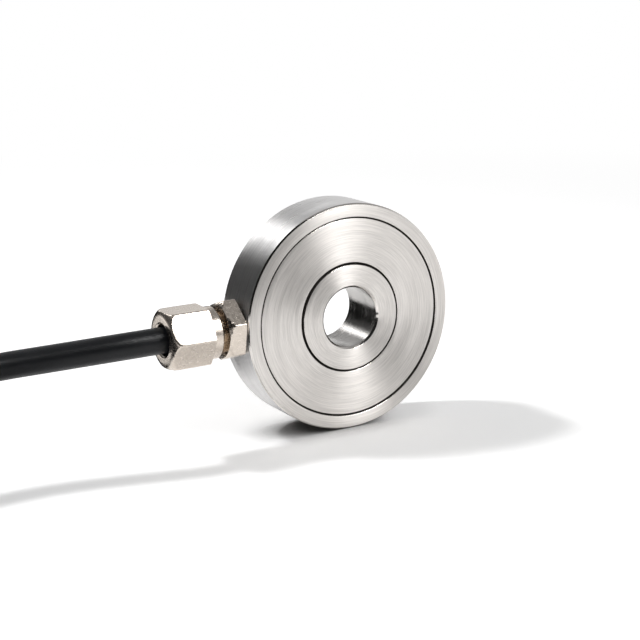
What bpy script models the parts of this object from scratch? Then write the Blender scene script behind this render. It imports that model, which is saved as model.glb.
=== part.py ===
"""Washer load cell: a turned stainless ring that measures the clamping force of a bolt through its bore.

The cell stands on its rim. Its axis lies along Y with the closed front face towards -Y, the cable gland
points along -X, and +Z is up. The origin is on the floor, under the middle of the ring.
"""

from math import cos, pi, radians, sin, sqrt

import bmesh
import bpy
import numpy as np
from mathutils import Matrix, Vector

# Ring
OUTER_DIAMETER = 0.046
THICKNESS = 0.0113
RIM_CHAMFER = 0.0003
BORE_DIAMETER = 0.0122
BORE_CHAMFER = 0.0004
EDGE_BREAK = 0.00012
WEB_THICKNESS = 0.00225
CAVITY_FILLET = 0.0008
REAR_LAND = 0.0046
REAR_RELIEF_DEPTH = 0.0004
REAR_RIM_LAND = 0.0029
RING_SEGMENTS = 90
BOARD_SEGMENTS = 60
GLAND_SEGMENTS = 48
SLEEVE_SEGMENTS = 24
HANK_SEGMENTS = 38
WIRE_POINT_SPACING = 1.5

# Places across the ring, as shares of the way from the bore to the rim
HUB_SHARE = 0.27337
COLUMN_SHARE = 0.34911
BOARD_INNER_SHARE = 0.43787
BOARD_OUTER_SHARE = 0.62130
CAVITY_SHARE = 0.66864
RECESS_SHARE = 0.83846

# Clearances
SEAT_GAP = 0.0003
GROOVE_WIDTH = 0.0003

# Cover plate
COVER_THICKNESS = 0.0009

# Strain gauges, their leads and the terminal board
GAUGE_COUNT = 4
GAUGE_LENGTH = 0.0042
GAUGE_WIDTH = 0.0036
GAUGE_THICKNESS = 0.0002
GAUGE_LEAD_RADIUS = 0.00013
GAUGE_LEAD_SPREAD = 0.0011
BOARD_THICKNESS = 0.0008
RESISTOR_SHARE = 0.84
RESISTOR_WIDTH = 0.0014
RESISTOR_HEIGHT = 0.0006

# Cable port in the rim
PORT_DIAMETER = 0.0081
PORT_DEPTH = 0.0041
CORE_HOLE_DIAMETER = 0.0052
SPOT_FACE_DIAMETER = 0.0098
SPOT_FACE_DEPTH = 0.00075

# Gland
WASHER_THICKNESS = 0.0005
HEX_ACROSS_FLATS = 0.0110
BASE_HEX_LENGTH = 0.00345
BASE_HEX_CHAMFER = 0.0007
BASE_HEX_TURN = radians(10.3)
NECK_UNDERCUT_DEPTH = 0.0004
NECK_UNDERCUT_LENGTH = 0.0007
NECK_DIAMETER = 0.0086
NECK_LENGTH = 0.0068
CLAMP_CONE_LENGTH = 0.0016
CLAMP_CONE_FLARE = 0.0006
SKIRT_DIAMETER = 0.0104
SKIRT_OFFSET = 0.0011
SKIRT_LENGTH = 0.00205
CAP_HEX_LENGTH = 0.0088
CAP_HEX_TURN = radians(30.6)
CAP_ROUNDING = 0.0019
CAP_LIP_THICKNESS = 0.0010
CAP_MOUTH_DIAMETER = 0.0064
CAP_MOUTH_CHAMFER = 0.00025
CLAMP_RING_THICKNESS = 0.0007
CLAMP_RING_WALL = 0.0010

# Cable, and how its cores run to the board, as angles round the cell from the port
CABLE_DIAMETER = 0.0052
CORE_RADIUS = 0.00045
CORE_PITCH = 0.00062
DRAIN_RADIUS = 0.0002
CONDUCTOR_RADIUS = 0.00026
JACKET_INSET = 0.0007
CORE_TURN_ANGLE = radians(8.5)
REAR_CORE_LANDING = radians(20)
FRONT_CORE_LANDING = radians(35)

# Hank of the lead: an oval loop, wound in layers, with a tie round each of its long sides
HANK_NEAR_END = -0.0850
HANK_SHIFT = 0.0049
HANK_STRAIGHT = 0.0520
HANK_BEND_RADIUS = 0.0136
HANK_BASE_TURNS = 3
HANK_LAYERS = 3
TIE_THICKNESS = 0.0006
TIE_WIDTH = 0.0040
TIE_OFFSET = 0.0080

# Stripped end of the lead
SLEEVE_LENGTH = 0.0080
SLEEVE_WALL = 0.0003
SLEEVE_TAPER = 0.0026
STRIPPED_CORE_LENGTH = 0.0105
UPPER_CORE_SPREAD = 0.0031
LOWER_CORE_SPREAD = 0.0015
TAIL_REST = 0.0001
TINNED_LENGTH = 0.0040

# Sizes that follow from the driving dimensions
RIM_RADIUS = OUTER_DIAMETER / 2
HALF_THICKNESS = THICKNESS / 2
BORE_RADIUS = BORE_DIAMETER / 2
RING_WIDTH = RIM_RADIUS - BORE_RADIUS
HUB_RADIUS = BORE_RADIUS + HUB_SHARE * RING_WIDTH
COLUMN_RADIUS = BORE_RADIUS + COLUMN_SHARE * RING_WIDTH
CAVITY_RADIUS = BORE_RADIUS + CAVITY_SHARE * RING_WIDTH
RECESS_RADIUS = BORE_RADIUS + RECESS_SHARE * RING_WIDTH
COVER_SEAT = HALF_THICKNESS - COVER_THICKNESS - SEAT_GAP
CAVITY_FLOOR = WEB_THICKNESS - HALF_THICKNESS
BOARD_FRONT = CAVITY_FLOOR + SEAT_GAP + BOARD_THICKNESS
BOARD_INNER = BORE_RADIUS + BOARD_INNER_SHARE * RING_WIDTH
BOARD_OUTER = BORE_RADIUS + BOARD_OUTER_SHARE * RING_WIDTH
BOARD_MIDDLE = (BOARD_INNER + BOARD_OUTER) / 2
RESISTOR_LENGTH = RESISTOR_SHARE * (BOARD_OUTER - BOARD_INNER)
CENTRE_HEIGHT = RIM_RADIUS * cos(pi / RING_SEGMENTS)
CABLE_RADIUS = CABLE_DIAMETER / 2
SPIGOT_RADIUS = PORT_DIAMETER / 2 - SEAT_GAP
PORT_FLOOR = RIM_RADIUS - PORT_DEPTH
SPOT_FACE = RIM_RADIUS - SPOT_FACE_DEPTH
GLAND_START = PORT_FLOOR + SEAT_GAP
BASE_HEX_START = SPOT_FACE + WASHER_THICKNESS + 2 * SEAT_GAP
BASE_HEX_END = BASE_HEX_START + BASE_HEX_LENGTH
NECK_END = BASE_HEX_END + NECK_LENGTH
NECK_RADIUS = NECK_DIAMETER / 2
PASSAGE_RADIUS = CABLE_RADIUS + SEAT_GAP
SKIRT_START = BASE_HEX_END + SKIRT_OFFSET
CAP_HEX_START = SKIRT_START + SKIRT_LENGTH
CAP_END = CAP_HEX_START + CAP_HEX_LENGTH
CAP_LIP = CAP_END - CAP_LIP_THICKNESS
CLAMP_RING_START = NECK_END + SEAT_GAP
CLAMP_RING_END = CLAMP_RING_START + CLAMP_RING_THICKNESS
CLAMP_RING_RADIUS = PASSAGE_RADIUS + CLAMP_RING_WALL
SEAL_START = CLAMP_RING_END + SEAT_GAP
SEAL_END = CAP_LIP - SEAT_GAP
HEX_CORNER_RADIUS = HEX_ACROSS_FLATS / sqrt(3)
JACKET_START = GLAND_START + JACKET_INSET
LAYER_RISE = CABLE_DIAMETER * sin(radians(60))
HANK_LOW = TIE_THICKNESS + SEAT_GAP + CABLE_RADIUS
HANK_TOP = HANK_LOW + HANK_LAYERS * LAYER_RISE
HANK_HALF_WIDTH = HANK_BEND_RADIUS + HANK_BASE_TURNS * CABLE_RADIUS
HANK_BEND_START = HANK_NEAR_END - HANK_HALF_WIDTH
HANK_CENTRE = (HANK_BEND_START - HANK_STRAIGHT / 2, HANK_SHIFT + HANK_BEND_RADIUS - CABLE_RADIUS)

# Where the lead runs level, and then how it bows back and comes down onto the hank, as (place along X,
# place along Y, share of the way down)
LEVEL_END = -0.0400
LANDING_REACH = 0.0126
LANDING_HEIGHT = 0.00294
LEAD_DESCENT = [
    (-0.0460, 0.0004, 0.038),
    (-0.0520, 0.0018, 0.170),
    (-0.0600, 0.0038, 0.358),
    (-0.0680, 0.0055, 0.520),
    (-0.0760, 0.0061, 0.660),
    (-0.0850, 0.0056, 0.800),
    (HANK_BEND_START + LANDING_REACH, HANK_SHIFT, 1.0),
]

# Last stretch of the jacket, inside the hank, as shares of its way over from the far side to the middle
TAIL_LEAVING = 0.0240
TAIL_STRAIGHT = 0.0060
TAIL_SHARES = (0.57, 0.65, 0.76, 0.88, 1.0)


def clear_scene():
    for old in list(bpy.data.objects):
        bpy.data.objects.remove(old, do_unlink=True)


def new_collection(name):
    group = bpy.data.collections.new(name)
    bpy.context.scene.collection.children.link(group)
    return group


def new_material(name, colour, roughness, metallic=0.0):
    made = bpy.data.materials.new(name)
    made.use_nodes = True
    made.diffuse_color = (*colour, 1.0)
    shader = made.node_tree.nodes["Principled BSDF"]
    shader.inputs["Base Color"].default_value = (*colour, 1.0)
    shader.inputs["Roughness"].default_value = roughness
    shader.inputs["Metallic"].default_value = metallic
    return made


def add_object(name, data, group, finish=None):
    made = bpy.data.objects.new(name, data)
    group.objects.link(made)
    if finish is not None:
        made.data.materials.append(finish)
    return made


def spin(made, steps):
    """Turns a profile in the XZ plane right round the object's own Z axis."""
    screw = made.modifiers.new("Turned", "SCREW")
    screw.axis = "Z"
    screw.angle = 2 * pi
    screw.steps = steps
    screw.render_steps = steps
    screw.use_merge_vertices = False


def turned(name, outline, group, finish=None, steps=RING_SEGMENTS):
    """A turned ring. The outline is a closed loop of (radius, height), down its outer side first."""
    mesh = bpy.data.meshes.new(name)
    count = len(outline)
    edges = [(i, (i + 1) % count) for i in range(count)]
    mesh.from_pydata([(r, 0.0, z) for r, z in outline], edges, [])
    made = add_object(name, mesh, group, finish)
    spin(made, steps)
    return made


def arc(centre, radius, start, end, pieces):
    """Points along an arc in the (radius, height) plane, both ends included."""
    angles = np.linspace(radians(start), radians(end), pieces + 1)
    return [(centre[0] + radius * cos(a), centre[1] + radius * sin(a)) for a in angles]


def cut(made, cutter, operation="DIFFERENCE"):
    boolean = made.modifiers.new(cutter.name, "BOOLEAN")
    boolean.object = cutter
    boolean.operation = operation
    boolean.solver = "EXACT"
    cutter.hide_render = True
    cutter.display_type = "WIRE"


def on_ring_axis(made):
    """Lays an object turned about its own Z so that its top faces the front of the cell."""
    made.rotation_euler = (pi / 2, 0.0, 0.0)
    made.location = (0.0, 0.0, CENTRE_HEIGHT)


def on_gland_axis(made):
    """Lays an object turned about its own Z along the gland, with its height as distance from the bore axis."""
    made.rotation_euler = (0.0, -pi / 2, 0.0)
    made.location = (0.0, 0.0, CENTRE_HEIGHT)


def ring_point(radius, angle, height):
    """A place in the cell: distance from its axis, angle from +X towards +Z, height towards the front."""
    return Vector((radius * cos(angle), -height, CENTRE_HEIGHT + radius * sin(angle)))


def smooth_path(points, spacing):
    """Places at even spacing along a Catmull-Rom curve through the given points."""
    knots = np.array([tuple(p) for p in points])
    ends = np.vstack([2 * knots[0] - knots[1], knots, 2 * knots[-1] - knots[-2]])
    fine = []
    for i in range(len(knots) - 1):
        a, b, c, d = ends[i : i + 4]
        t = np.linspace(0, 1, 24, endpoint=False)[:, None]
        fine.append(0.5 * (2 * b + (c - a) * t + (2 * a - 5 * b + 4 * c - d) * t**2 + (3 * b - a - 3 * c + d) * t**3))
    fine = np.vstack([*fine, knots[-1:]])
    run = np.concatenate([[0.0], np.cumsum(np.linalg.norm(np.diff(fine, axis=0), axis=1))])
    places = np.linspace(0.0, run[-1], max(2, round(run[-1] / spacing) + 1))
    return np.stack([np.interp(places, run, fine[:, k]) for k in range(3)], axis=1)


def wire(name, points, radius, group, finish, spacing=WIRE_POINT_SPACING, sides=2):
    """A round wire or cable along a smooth curve, with flat ends. The spacing of its points is in diameters."""
    curve = bpy.data.curves.new(name, "CURVE")
    curve.dimensions = "3D"
    curve.bevel_depth = radius
    curve.bevel_resolution = sides
    curve.use_fill_caps = True
    spline = curve.splines.new("POLY")
    places = smooth_path(points, spacing * 2 * radius)
    spline.points.add(len(places) - 1)
    for point, place in zip(spline.points, places):
        point.co = (*place, 1.0)
    return add_object(name, curve, group, finish)


def cylinder_cutter(name, radius, start, end, group, segments=GLAND_SEGMENTS):
    """A cylinder along the gland axis, between two distances from the bore axis."""
    mesh = bpy.data.meshes.new(name)
    shape = bmesh.new()
    bmesh.ops.create_cone(
        shape,
        cap_ends=True,
        segments=segments,
        radius1=radius,
        radius2=radius,
        depth=end - start,
        matrix=Matrix.Translation((0.0, 0.0, (start + end) / 2)),
    )
    shape.to_mesh(mesh)
    shape.free()
    made = add_object(name, mesh, group)
    on_gland_axis(made)
    return made


def hexagon_bar(name, start, end, turn, group, finish):
    """Hexagon bar along the gland axis. The turn of a corner is measured from the top towards the front."""
    mesh = bpy.data.meshes.new(name)
    shape = bmesh.new()
    placed = Matrix.Translation((0.0, 0.0, (start + end) / 2)) @ Matrix.Rotation(-turn - pi / 6, 4, "Z")
    bmesh.ops.create_cone(
        shape,
        cap_ends=True,
        segments=6,
        radius1=HEX_CORNER_RADIUS,
        radius2=HEX_CORNER_RADIUS,
        depth=end - start,
        matrix=placed,
    )
    shape.to_mesh(mesh)
    shape.free()
    made = add_object(name, mesh, group, finish)
    on_gland_axis(made)
    return made


def make_sensing_body(parts, cutters, steel):
    """Hub column, web, rim wall and both load faces, turned from one bar of stainless steel."""
    h = HALF_THICKNESS
    fillet = CAVITY_FILLET
    relief_inner = BORE_RADIUS + REAR_LAND
    relief_outer = RIM_RADIUS - REAR_RIM_LAND
    outline = [
        (RIM_RADIUS - RIM_CHAMFER, h),
        (RIM_RADIUS, h - RIM_CHAMFER),
        (RIM_RADIUS, RIM_CHAMFER - h),
        (RIM_RADIUS - RIM_CHAMFER, -h),
        (relief_outer, -h),
        (relief_outer - REAR_RELIEF_DEPTH, REAR_RELIEF_DEPTH - h),
        (relief_inner + REAR_RELIEF_DEPTH, REAR_RELIEF_DEPTH - h),
        (relief_inner, -h),
        (BORE_RADIUS + BORE_CHAMFER, -h),
        (BORE_RADIUS, BORE_CHAMFER - h),
        (BORE_RADIUS, h - BORE_CHAMFER),
        (BORE_RADIUS + BORE_CHAMFER, h),
        (HUB_RADIUS - EDGE_BREAK, h),
        (HUB_RADIUS, h - EDGE_BREAK),
        (HUB_RADIUS, COVER_SEAT),
        (COLUMN_RADIUS, COVER_SEAT),
        *arc((COLUMN_RADIUS + fillet, CAVITY_FLOOR + fillet), fillet, 180, 270, 2),
        *arc((CAVITY_RADIUS - fillet, CAVITY_FLOOR + fillet), fillet, 270, 360, 2),
        (CAVITY_RADIUS, COVER_SEAT),
        (RECESS_RADIUS, COVER_SEAT),
        (RECESS_RADIUS, h - EDGE_BREAK),
        (RECESS_RADIUS + EDGE_BREAK, h),
    ]
    body = turned("sensing_body", outline, parts, steel)
    on_ring_axis(body)
    outside = RIM_RADIUS + PORT_DEPTH
    cut(body, cylinder_cutter("spot_face", SPOT_FACE_DIAMETER / 2, SPOT_FACE, outside, cutters))
    cut(body, cylinder_cutter("gland_port", PORT_DIAMETER / 2, PORT_FLOOR, outside, cutters))
    inside = CAVITY_RADIUS - CAVITY_FILLET
    cut(body, cylinder_cutter("core_hole", CORE_HOLE_DIAMETER / 2, inside, PORT_FLOOR + SEAT_GAP, cutters, 32))


def make_cover_plate(parts, steel):
    """Annular plate that closes the gauge cavity, flush with both lands of the front face."""
    inner = HUB_RADIUS + GROOVE_WIDTH
    outer = RECESS_RADIUS - GROOVE_WIDTH
    h = HALF_THICKNESS
    outline = [
        (outer - EDGE_BREAK, h),
        (outer, h - EDGE_BREAK),
        (outer, h - COVER_THICKNESS),
        (inner, h - COVER_THICKNESS),
        (inner, h - EDGE_BREAK),
        (inner + EDGE_BREAK, h),
    ]
    on_ring_axis(turned("cover_plate", outline, parts, steel))


def make_gauges(parts, cutters, foil, enamel):
    """Foil gauges bonded round the hub column, each with two leads down to the board."""
    inner = COLUMN_RADIUS + SEAT_GAP
    outer = inner + GAUGE_THICKNESS
    middle = (COVER_SEAT + CAVITY_FLOOR) / 2
    lead_start = outer + SEAT_GAP + GAUGE_LEAD_RADIUS
    lead_end = BOARD_INNER + 2 * GAUGE_LEAD_RADIUS
    landing = BOARD_FRONT + SEAT_GAP + GAUGE_LEAD_RADIUS
    for i in range(GAUGE_COUNT):
        angle = 2 * pi * i / GAUGE_COUNT
        outline = [
            (outer, middle + GAUGE_LENGTH / 2),
            (outer, middle - GAUGE_LENGTH / 2),
            (inner, middle - GAUGE_LENGTH / 2),
            (inner, middle + GAUGE_LENGTH / 2),
        ]
        gauge = turned(f"strain_gauge_{i + 1}", outline, parts, foil)
        on_ring_axis(gauge)
        mesh = bpy.data.meshes.new(f"gauge_outline_{i + 1}")
        shape = bmesh.new()
        bmesh.ops.create_cube(shape, size=1.0)
        size = (2 * COLUMN_RADIUS, 2 * THICKNESS, GAUGE_WIDTH)
        bmesh.ops.scale(shape, vec=size, verts=shape.verts)
        bmesh.ops.translate(shape, vec=(COLUMN_RADIUS + GAUGE_LENGTH / 2, 0.0, 0.0), verts=shape.verts)
        shape.to_mesh(mesh)
        shape.free()
        window = add_object(mesh.name, mesh, cutters)
        window.rotation_euler = (0.0, -angle, 0.0)
        window.location = (0.0, 0.0, CENTRE_HEIGHT)
        cut(gauge, window, "INTERSECT")
        for side, label in ((-1, "a"), (1, "b")):
            turn = angle + side * GAUGE_LEAD_SPREAD / lead_start
            route = [
                ring_point(lead_start, turn, middle - 0.1 * GAUGE_LENGTH),
                ring_point(lead_start, turn, middle - 0.3 * GAUGE_LENGTH),
                ring_point((lead_start + lead_end) / 2, turn, (middle - 0.3 * GAUGE_LENGTH + landing) / 2),
                ring_point(lead_end, turn, landing),
            ]
            wire(f"gauge_lead_{i + 1}{label}", route, GAUGE_LEAD_RADIUS, parts, enamel)


def make_board(parts, laminate, ceramic):
    """Annular terminal board on the web, with the chip resistors that trim the bridge."""
    back = CAVITY_FLOOR + SEAT_GAP
    outline = [
        (BOARD_OUTER, BOARD_FRONT),
        (BOARD_OUTER, back),
        (BOARD_INNER, back),
        (BOARD_INNER, BOARD_FRONT),
    ]
    on_ring_axis(turned("terminal_board", outline, parts, laminate, BOARD_SEGMENTS))
    height = BOARD_FRONT + SEAT_GAP + RESISTOR_HEIGHT / 2
    for i in range(GAUGE_COUNT):
        angle = 2 * pi * (i + 0.5) / GAUGE_COUNT
        mesh = bpy.data.meshes.new(f"trim_resistor_{i + 1}")
        shape = bmesh.new()
        bmesh.ops.create_cube(shape, size=1.0)
        size = (RESISTOR_WIDTH, RESISTOR_HEIGHT, RESISTOR_LENGTH)
        bmesh.ops.scale(shape, vec=size, verts=shape.verts)
        shape.to_mesh(mesh)
        shape.free()
        resistor = add_object(mesh.name, mesh, parts, ceramic)
        resistor.rotation_euler = (0.0, -angle, 0.0)
        resistor.location = ring_point(BOARD_MIDDLE, angle, height)


def make_gland(parts, cutters, nickel, rubber, brass):
    """Cable gland: face washer, body, clamp ring, seal and cap nut, in line along -X."""
    washer = [
        (SPOT_FACE_DIAMETER / 2 - SEAT_GAP, SPOT_FACE + SEAT_GAP + WASHER_THICKNESS),
        (SPOT_FACE_DIAMETER / 2 - SEAT_GAP, SPOT_FACE + SEAT_GAP),
        (SPIGOT_RADIUS + SEAT_GAP, SPOT_FACE + SEAT_GAP),
        (SPIGOT_RADIUS + SEAT_GAP, SPOT_FACE + SEAT_GAP + WASHER_THICKNESS),
    ]
    on_gland_axis(turned("gland_face_washer", washer, parts, rubber, GLAND_SEGMENTS))

    clear = 1.2 * HEX_CORNER_RADIUS
    undercut = NECK_RADIUS - NECK_UNDERCUT_DEPTH
    body_blank = [
        (NECK_RADIUS, NECK_END),
        (NECK_RADIUS, BASE_HEX_END + NECK_UNDERCUT_LENGTH),
        (undercut, BASE_HEX_END + NECK_UNDERCUT_LENGTH / 2),
        (undercut, BASE_HEX_END),
        (HEX_CORNER_RADIUS - BASE_HEX_CHAMFER, BASE_HEX_END),
        (clear, BASE_HEX_END - clear + HEX_CORNER_RADIUS - BASE_HEX_CHAMFER),
        (clear, BASE_HEX_START),
        (SPIGOT_RADIUS, BASE_HEX_START),
        (SPIGOT_RADIUS, GLAND_START),
        (PASSAGE_RADIUS, GLAND_START),
        (PASSAGE_RADIUS, NECK_END - CLAMP_CONE_LENGTH),
        (PASSAGE_RADIUS + CLAMP_CONE_FLARE, NECK_END),
    ]
    blank = turned("gland_body_blank", body_blank, cutters, steps=GLAND_SEGMENTS)
    on_gland_axis(blank)
    over = SEAT_GAP
    body = hexagon_bar("gland_body", GLAND_START - over, NECK_END + over, BASE_HEX_TURN, parts, nickel)
    cut(body, blank, "INTERSECT")

    ring = [
        (CLAMP_RING_RADIUS, CLAMP_RING_END),
        (CLAMP_RING_RADIUS, CLAMP_RING_START),
        (PASSAGE_RADIUS, CLAMP_RING_START),
        (PASSAGE_RADIUS, CLAMP_RING_END),
    ]
    on_gland_axis(turned("gland_clamp_ring", ring, parts, brass, GLAND_SEGMENTS))

    seal = [
        (CLAMP_RING_RADIUS - CAP_MOUTH_CHAMFER, SEAL_END),
        (CLAMP_RING_RADIUS, SEAL_END - CAP_MOUTH_CHAMFER),
        (CLAMP_RING_RADIUS, SEAL_START),
        (PASSAGE_RADIUS, SEAL_START),
        (PASSAGE_RADIUS, SEAL_END),
    ]
    on_gland_axis(turned("gland_seal", seal, parts, rubber, GLAND_SEGMENTS))

    thread_bore = NECK_RADIUS + SEAT_GAP
    seal_bore = CLAMP_RING_RADIUS + SEAT_GAP
    mouth = CAP_MOUTH_DIAMETER / 2
    cap_blank = [
        *arc((HEX_CORNER_RADIUS - CAP_ROUNDING, CAP_END - CAP_ROUNDING), CAP_ROUNDING, 90, 0, 5),
        (clear, CAP_END - CAP_ROUNDING - SEAT_GAP),
        (clear, CAP_HEX_START),
        (SKIRT_DIAMETER / 2, CAP_HEX_START),
        (SKIRT_DIAMETER / 2, SKIRT_START + EDGE_BREAK),
        (SKIRT_DIAMETER / 2 - EDGE_BREAK, SKIRT_START),
        (thread_bore, SKIRT_START),
        (thread_bore, CLAMP_RING_START),
        (seal_bore, CLAMP_RING_START),
        (seal_bore, CAP_LIP),
        (mouth, CAP_LIP),
        (mouth, CAP_END - CAP_MOUTH_CHAMFER),
        (mouth + CAP_MOUTH_CHAMFER, CAP_END),
    ]
    blank = turned("gland_cap_blank", cap_blank, cutters, steps=GLAND_SEGMENTS)
    on_gland_axis(blank)
    cap = hexagon_bar("gland_cap_nut", SKIRT_START - over, CAP_END + over, CAP_HEX_TURN, parts, nickel)
    cut(cap, blank, "INTERSECT")


def make_inner_cores(parts, colours, tinned):
    """The four cores and the drain wire, from the end of the jacket to their pads on the board."""
    start = JACKET_START - SEAT_GAP
    entry = (CAVITY_RADIUS + PORT_FLOOR) / 2
    landing = BOARD_FRONT + SEAT_GAP + CORE_RADIUS
    turn_in = (BOARD_MIDDLE + BOARD_OUTER) / 2
    for k, (name, finish) in enumerate(colours):
        side = 1 if k < 2 else -1
        front = k % 2 == 0
        height = CORE_PITCH if front else -CORE_PITCH
        route = [
            Vector((-start, -height, CENTRE_HEIGHT + side * CORE_PITCH)),
            Vector((-entry, -height, CENTRE_HEIGHT + side * CORE_PITCH)),
            ring_point(turn_in, pi - side * CORE_TURN_ANGLE, height),
        ]
        if front:
            over = landing + 2 * (CORE_RADIUS + SEAT_GAP)
            beyond = (REAR_CORE_LANDING + FRONT_CORE_LANDING) / 2
            route.append(ring_point(BOARD_MIDDLE, pi - side * REAR_CORE_LANDING, over))
            route.append(ring_point(BOARD_MIDDLE, pi - side * beyond, (over + landing) / 2))
            route.append(ring_point(BOARD_MIDDLE, pi - side * FRONT_CORE_LANDING, landing))
        else:
            midway = (CORE_TURN_ANGLE + REAR_CORE_LANDING) / 2
            route.append(ring_point(BOARD_MIDDLE, pi - side * midway, (height + landing) / 2))
            route.append(ring_point(BOARD_MIDDLE, pi - side * REAR_CORE_LANDING, landing))
        wire(f"inner_core_{name}", route, CORE_RADIUS, parts, finish)
    landing = BOARD_FRONT + SEAT_GAP + DRAIN_RADIUS
    route = [
        Vector((-start, 0.0, CENTRE_HEIGHT)),
        Vector((-entry, 0.0, CENTRE_HEIGHT)),
        ring_point(BOARD_OUTER, pi, landing / 4),
        ring_point(turn_in, pi, landing / 2),
        ring_point(BOARD_MIDDLE, pi, landing),
    ]
    wire("inner_drain_wire", route, DRAIN_RADIUS, parts, tinned)


def lead_route():
    """The lead from its end inside the gland, level at first and then down to where it meets the hank."""
    drop = CENTRE_HEIGHT - HANK_TOP - LANDING_HEIGHT
    level = [(x, 0.0, CENTRE_HEIGHT) for x in np.linspace(-JACKET_START, LEVEL_END, 3)]
    return level + [(x, y, CENTRE_HEIGHT - share * drop) for x, y, share in LEAD_DESCENT]


def hank_section(grow):
    """Outline of the wound turns, as (offset outwards from the middle of the bundle, height), grown outwards.

    Three even layers of turns, and one turn that rides on top of them, inwards of the middle.
    """
    radius = CABLE_RADIUS + grow
    edge = (HANK_BASE_TURNS - 1) * CABLE_RADIUS
    upper = HANK_TOP - LAYER_RISE
    return [
        *arc((edge, upper), radius, 60, 0, 2),
        *arc((edge, HANK_LOW), radius, 0, -90, 2),
        *arc((-edge, HANK_LOW), radius, 270, 180, 2),
        *arc((-edge, upper), radius, 180, 120, 1),
        *arc((-CABLE_RADIUS, HANK_TOP), radius, 120, 60, 2),
    ]


def make_hank(parts, jacket, strap):
    """The wound part of the lead as a ring, to be drawn out into an oval, and the straps that hold it."""
    outline = [(HANK_BEND_RADIUS + x, z) for x, z in hank_section(0.0)]
    hank = turned("cable_coil", outline, parts, jacket, HANK_SEGMENTS)
    hank.location = (*HANK_CENTRE, 0.0)
    for i, side in enumerate((-1, 1)):
        curve = bpy.data.curves.new(f"coil_tie_{i + 1}", "CURVE")
        curve.dimensions = "2D"
        curve.fill_mode = "BOTH"
        curve.extrude = TIE_WIDTH / 2
        for grow in (SEAT_GAP + TIE_THICKNESS, SEAT_GAP):
            section = hank_section(grow)
            spline = curve.splines.new("POLY")
            spline.points.add(len(section) - 1)
            for point, (x, z) in zip(spline.points, section):
                point.co = (x, z, 0.0, 1.0)
            spline.use_cyclic_u = True
        tie = add_object(curve.name, curve, parts, strap)
        tie.rotation_euler = (pi / 2, 0.0, side * pi / 2)
        tie.location = (HANK_CENTRE[0] + TIE_OFFSET, HANK_CENTRE[1] + side * HANK_BEND_RADIUS, 0.0)
    return hank


def draw_out(made, length):
    """Moves the two halves of a round ring apart along its own X axis, which makes it an oval loop."""
    shape = bmesh.new()
    shape.from_mesh(made.data)
    for side in (-1, 1):
        half = [corner for corner in shape.verts if side * corner.co.x > 0]
        bmesh.ops.translate(shape, vec=(side * length / 2, 0.0, 0.0), verts=half)
    shape.to_mesh(made.data)
    shape.free()


def tail_route():
    """The end of the jacket: it leaves the lowest inner turn of the far side along a smooth step to the
    middle of the hank, and runs straight on towards the cell."""
    start = HANK_CENTRE[0] - HANK_STRAIGHT / 2
    across = HANK_BEND_RADIUS - (HANK_BASE_TURNS - 1) * CABLE_RADIUS
    rest = CABLE_RADIUS + SEAT_GAP + SLEEVE_WALL + TAIL_REST
    route = []
    for share in TAIL_SHARES:
        step = share**2 * (3 - 2 * share)
        height = HANK_LOW + (rest - HANK_LOW) * share
        route.append((start + share * TAIL_LEAVING, HANK_CENTRE[1] + across * (1 - step), height))
    route.append((start + TAIL_LEAVING + TAIL_STRAIGHT, HANK_CENTRE[1], rest))
    return route


def make_lead_end(parts, rubber, colours, tinned):
    """Heat-shrink sleeve over the end of the jacket, four stripped cores with tinned ends, and the drain."""
    jacket_end, y, z = tail_route()[-1]
    sleeve_end = jacket_end + SLEEVE_TAPER
    sleeve_start = sleeve_end - SLEEVE_LENGTH
    wide = CABLE_RADIUS + SEAT_GAP
    narrow = CORE_PITCH * sqrt(2) + CORE_RADIUS + SEAT_GAP
    outline = [
        (narrow + SLEEVE_WALL, sleeve_end),
        (wide + SLEEVE_WALL, jacket_end + SEAT_GAP),
        (wide + SLEEVE_WALL, sleeve_start),
        (wide, sleeve_start),
        (wide, jacket_end + SEAT_GAP),
        (narrow, sleeve_end),
    ]
    sleeve = turned("heat_shrink_sleeve", outline, parts, rubber, SLEEVE_SEGMENTS)
    sleeve.rotation_euler = (0.0, pi / 2, 0.0)
    sleeve.location = (0.0, y, z)
    start = jacket_end + SEAT_GAP
    stop = start + STRIPPED_CORE_LENGTH
    for k, (name, finish) in enumerate(colours):
        side = 1 if k % 2 == 0 else -1
        upper = k < 2
        across = side * CORE_PITCH
        spread = side * (UPPER_CORE_SPREAD if upper else LOWER_CORE_SPREAD)
        height = z + (CORE_PITCH if upper else -CORE_PITCH)
        rest = 3 * CORE_RADIUS if upper else CORE_RADIUS
        route = [
            (start, y + across, height),
            (sleeve_end, y + across, height),
            ((sleeve_end + stop) / 2, y + (across + spread) / 2, (height + rest) / 2),
            (stop, y + spread, rest),
        ]
        wire(f"core_{name}", route, CORE_RADIUS, parts, finish)
        along = Vector((stop - sleeve_end, spread - across, 0.0)).normalized()
        tip = Vector(route[-1]) + SEAT_GAP * along
        end = tip + TINNED_LENGTH * along
        wire(f"tinned_end_{name}", [tip, end], CONDUCTOR_RADIUS, parts, tinned)
    rest = 2 * DRAIN_RADIUS
    route = [
        (start, y, z),
        (sleeve_end, y, z),
        ((sleeve_end + stop) / 2, y, (z + rest) / 2),
        (stop, y, rest),
    ]
    wire("drain_wire", route, DRAIN_RADIUS, parts, tinned, 2 * WIRE_POINT_SPACING)


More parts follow.
